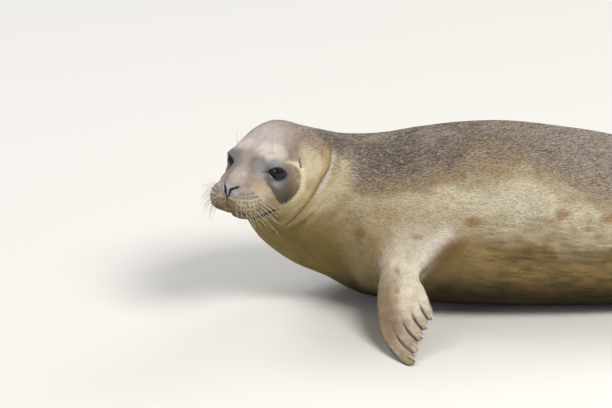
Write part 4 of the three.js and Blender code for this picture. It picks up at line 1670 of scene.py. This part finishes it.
def add_coat():
    """Gathers the tufts in pieces: lengths of the body, and each flipper."""
    rng = np.random.default_rng(SEED)
    roots, limb, colours, normals, way, length, width = rooted_tufts(rng)
    s, _ = spine_place(roots)
    depth = coat_depth(s) + (COAT_ON_LIMB - coat_depth(s)) * rises(0.2, 0.8, limb[:, SHARE])
    shapes, facing = tuft_shapes(rng, roots, normals, way, length, width, depth)
    colours = hair_colours(rng, roots, colours, limb)
    body_place, limb_place = unwrap_place(roots, limb)
    look = tuft_material("pelt_tufts")
    on_limb = limb[:, SHARE] > 0.5
    order = np.flatnonzero(~on_limb)[np.argsort(s[~on_limb], kind="stable")]
    for k, rows in enumerate(np.array_split(order, math.ceil(len(order) / TUFT_LIMIT))):
        places = body_place[rows]
        low, high = places[:, 0].min(), places[:, 0].max()
        places = np.column_stack([(places[:, 0] - low) / (high - low), places[:, 1]])
        coat_piece(f"coat_body_{k + 1}", look, shapes[rows], facing[rows], colours[rows], places)
    look = tuft_material("flipper_tufts")
    for (kind, part), side in itertools.product(enumerate(("fore", "hind")), SIDES):
        rows = np.flatnonzero(on_limb & (limb[:, KIND] == kind) & (limb[:, SIDE] == side))
        places = np.clip(limb_place[rows], 0, 1)
        name = f"coat_{part}flipper_{SIDES[side]}"
        coat_piece(name, look, shapes[rows], facing[rows], colours[rows], places)


add_coat()

# ---- eyes

CORNEA_RISE = 0.9
CORNEA_SPREAD = 0.42
EYE_SUNK = 0.2
EYE_STEPS = 40  # from the cornea to the back
EYE_AROUND = 48


def eyeball(side, material):
    """A globe whose cornea stands a little proud in front."""
    name = f"eye_{SIDES[side]}"
    centre, out, back, up = eye_axes(side)
    points = []
    for i, j in itertools.product(range(EYE_STEPS + 1), range(EYE_AROUND)):
        turn, angle = math.pi * i / EYE_STEPS, 2 * math.pi * j / EYE_AROUND
        radius = EYE_RADIUS + CORNEA_RISE * math.exp(-((turn / CORNEA_SPREAD) ** 2)) - EYE_SUNK
        flat = back * math.cos(angle) + up * math.sin(angle)
        points.append(centre + radius * (out * math.cos(turn) + flat * math.sin(turn)))
    faces = ring_faces(EYE_STEPS + 1, EYE_AROUND)
    made = new_object(name + "_ball", raw_mesh(name + "_ball", from_head(points) * MM, faces))
    set_attribute(made.data, "turn", np.repeat(np.arange(EYE_STEPS + 1) / EYE_STEPS, EYE_AROUND))
    work = bmesh.new()
    work.from_mesh(made.data)
    bmesh.ops.remove_doubles(work, verts=work.verts, dist=1e-6)
    bmesh.ops.recalc_face_normals(work, faces=work.faces)
    work.to_mesh(made.data)
    work.free()
    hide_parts(name)
    finished(made, material)


eye_look = eye_material()
for eye_side in SIDES:
    eyeball(eye_side, eye_look)

# ---- whiskers and claws

HAIR_ROOT = 1.5  # under the skin
HAIR_TAPER = 0.72
HAIR_SIDES = 6
HAIR_STEPS = 12
WHISKER_THICK = 0.3
WHISKER_SPREAD = 0.22
BROW_STEPS = 10
BROW_LENGTH = 30
BROW_THICK = 0.36
BROW_SPREAD = 0.12
CLAW_STEPS = 14
CLAW_SIDES = 14
CLAW_BEND = 2.4
CLAW_FLATNESS = 0.8


def tube(path, radii, sides):
    """Points and faces of a closed tube along a path, and each point's share of its length."""
    path = np.asarray(path, float)
    along = unit(np.gradient(path, axis=0))
    across = unit(np.cross(along, unit(np.array([0.31, -0.52, 0.79]))))
    other = np.cross(along, across)
    angles = 2 * math.pi * np.arange(sides) / sides
    ring = across[:, None] * np.cos(angles)[None, :, None] + other[:, None] * np.sin(angles)[None, :, None]
    points = path[:, None] + ring * np.asarray(radii)[:, None, None]
    shares = np.repeat(np.linspace(0, 1, len(path)), sides)
    return points.reshape(-1, 3), ring_faces(len(path), sides, capped=True), shares


def joined_tubes(name, tubes):
    """One object of many tubes, with the share of each tube's length as an attribute."""
    faces, start = [], 0
    for points, tube_faces, _ in tubes:
        faces += [tuple(start + i for i in face) for face in tube_faces]
        start += len(points)
    mesh = raw_mesh(name, np.concatenate([points for points, _, _ in tubes]) * MM, faces)
    set_attribute(mesh, "share", np.concatenate([shares for _, _, shares in tubes]))
    return new_object(name, mesh)


def hair(root, ray, pull, length, thick, steps=HAIR_STEPS):
    """A tube that leaves its root along ray, is bent more and more by pull, and thins to its tip."""
    path = [np.array(root) - ray * HAIR_ROOT]
    for i in range(steps):
        bend = (i / (steps - 1)) ** 1.3
        path.append(path[-1] + unit(ray * (1 - 0.55 * bend) + pull * bend) * length / steps)
    return tube(from_head(path), thick * (1 - HAIR_TAPER * np.linspace(0, 1, steps + 1)), HAIR_SIDES)


def add_whiskers(side, material):
    """The whiskers and brow hairs of one side: long and drooping at the back of the pad's low rows."""
    rng = np.random.default_rng(SEED + 5 + side)
    hairs = []
    for root, ray in zip(*WHISKER_ROOTS[side]):
        back = np.clip((50 - root[0]) / 30, 0, 1)
        low = np.clip((-20 - root[2]) / 30, 0, 1)
        length = (26 + 30 * back + 8 * low + 40 * (back > 0.7) * low) * rng.uniform(0.75, 1.2)
        start = unit(ray + (-0.25, 0.1 * side, -0.12 - 0.35 * low))
        pull = np.array([-0.75, 0.05 * side, -0.55 - 0.45 * low]) + rng.normal(0, WHISKER_SPREAD, 3)
        hairs.append(hair(root, start, pull, length, WHISKER_THICK + 0.08 * (back > 0.8) * low))
    for place in BROW_HAIRS:
        ray = unit(np.array([0.12, 0.22 * side, 1.0]) + rng.normal(0, BROW_SPREAD, 3))
        pull = np.array([-0.5, 0.1 * side, 0.1])
        hairs.append(hair(mirrored(place, side), ray, pull, BROW_LENGTH, BROW_THICK, BROW_STEPS))
    finished(joined_tubes(f"whiskers_{SIDES[side]}", hairs), material)


whisker_look = whisker_material()
for whisker_side in SIDES:
    add_whiskers(whisker_side, whisker_look)


def add_claw(form, side, toe, node, material):
    """One curved claw, flattened a little, from its bed in the toe to its tip."""
    length, radius, overlap = form["claw"].values()
    v = np.array([(toe + 0.5) / TOES])
    end = plan_point(form, np.array([1.0]), v)[0]
    before = plan_point(form, np.array([0.94]), v)[0]
    run = (end - before) / np.linalg.norm(end - before)
    share = np.repeat(np.linspace(0, 1, CLAW_STEPS), CLAW_SIDES)
    angle = np.tile(2 * math.pi * np.arange(CLAW_SIDES) / CLAW_SIDES, CLAW_STEPS)
    size = radius * (1 - share**2.2) + 0.3
    along = -overlap + length * share
    sideways = np.cos(angle) * size
    p = end[0] + run[0] * along - run[1] * sideways
    q = end[1] + run[1] * along + run[0] * sideways
    lift = form["thickness"]["toe"] + 0.6 - CLAW_BEND * share**2 + np.sin(angle) * size * CLAW_FLATNESS
    here, across, normal = flipper_axes(form, p)
    points = mirrored(here + across * q[:, None] + normal * lift[:, None], side)
    points[:, 2] = np.maximum(points[:, 2], CLAW_REST)
    faces = outward(points, ring_faces(CLAW_STEPS, CLAW_SIDES, capped=True))
    made = new_object(node + "_horn", raw_mesh(node + "_horn", points * MM, faces))
    set_attribute(made.data, "share", share)
    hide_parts(node)
    finished(made, material)


horn = horn_material()
for claw_form, claw_kind in ((FORE, "foreclaw"), (HIND, "hindclaw")):
    for claw_side, claw_toe in itertools.product(SIDES, range(TOES)):
        claw_node = f"{claw_kind}_{SIDES[claw_side]}_{claw_toe + 1}"
        add_claw(claw_form, claw_side, claw_toe, claw_node, horn)

# ---- stage

CAMERA_RISE = math.radians(22)
CAMERA_DISTANCE = 10.2
CAMERA_LENS = 400
SENSOR_WIDTH = 36
CAMERA_SIGHT = 60
FLOOR_HALF = 12.0
FLOOR_COLOUR = (0.60, 0.595, 0.58, 1)
SKY_COLOUR = (1.0, 0.98, 0.95, 1)
SKY_STRENGTH = 0.36

# Lights: name, place, target, size, power and colour.
LIGHTS = [
    ("key", (1.3, -1.9, 3.1), (-0.1, 0, 0.1), (1.8, 1.2), 155, (1.0, 0.965, 0.90)),
    ("fill", (-2.8, -2.6, 1.6), (-0.3, 0, 0.15), (1.8, 1.4), 18, (1.0, 0.97, 0.93)),
    ("sky", (-2.2, 1.1, 2.7), (-0.4, 0, 0.2), (2.0, 1.5), 55, (0.97, 0.98, 1.0)),
    ("rim", (1.6, 2.6, 2.4), (0.1, 0, 0.15), (2.0, 1.2), 50, (1.0, 0.98, 0.95)),
]
CAMERA_TARGET = Vector((-0.381, 0.0, 0.1423))


def add_camera():
    data = bpy.data.cameras.new("camera")
    data.lens = CAMERA_LENS
    data.sensor_width = SENSOR_WIDTH
    data.clip_end = CAMERA_SIGHT
    camera = bpy.data.objects.new("camera", data)
    back = Vector((0, -math.cos(CAMERA_RISE), math.sin(CAMERA_RISE)))
    camera.location = CAMERA_TARGET + back * CAMERA_DISTANCE
    camera.rotation_euler = (math.pi / 2 - CAMERA_RISE, 0, 0)
    bpy.context.scene.collection.objects.link(camera)
    bpy.context.scene.camera = camera


def add_light(name, place, target, size, power, colour):
    data = bpy.data.lights.new(name, "AREA")
    data.shape = "RECTANGLE"
    data.size, data.size_y = size
    data.energy = power
    data.color = colour
    light = bpy.data.objects.new(name, data)
    light.location = place
    light.rotation_euler = (Vector(target) - Vector(place)).to_track_quat("-Z", "Y").to_euler()
    bpy.context.scene.collection.objects.link(light)


def add_world():
    world = bpy.data.worlds.new("studio")
    world.use_nodes = True
    background = world.node_tree.nodes["Background"]
    background.inputs["Color"].default_value = SKY_COLOUR
    background.inputs["Strength"].default_value = SKY_STRENGTH
    bpy.context.scene.world = world


def add_floor():
    corners = np.array([(-1, -1, 0), (1, -1, 0), (1, 1, 0), (-1, 1, 0)]) * FLOOR_HALF
    floor = new_object("floor", raw_mesh("floor", corners, [(0, 1, 2, 3)]))
    material, _, shader = new_material("floor", 0.9, 0.5)
    shader.inputs["Base Color"].default_value = FLOOR_COLOUR
    floor.data.materials.append(material)


add_camera()
add_world()
add_floor()
for light in LIGHTS:
    add_light(*light)
bpy.context.scene.view_settings.view_transform = "Standard"
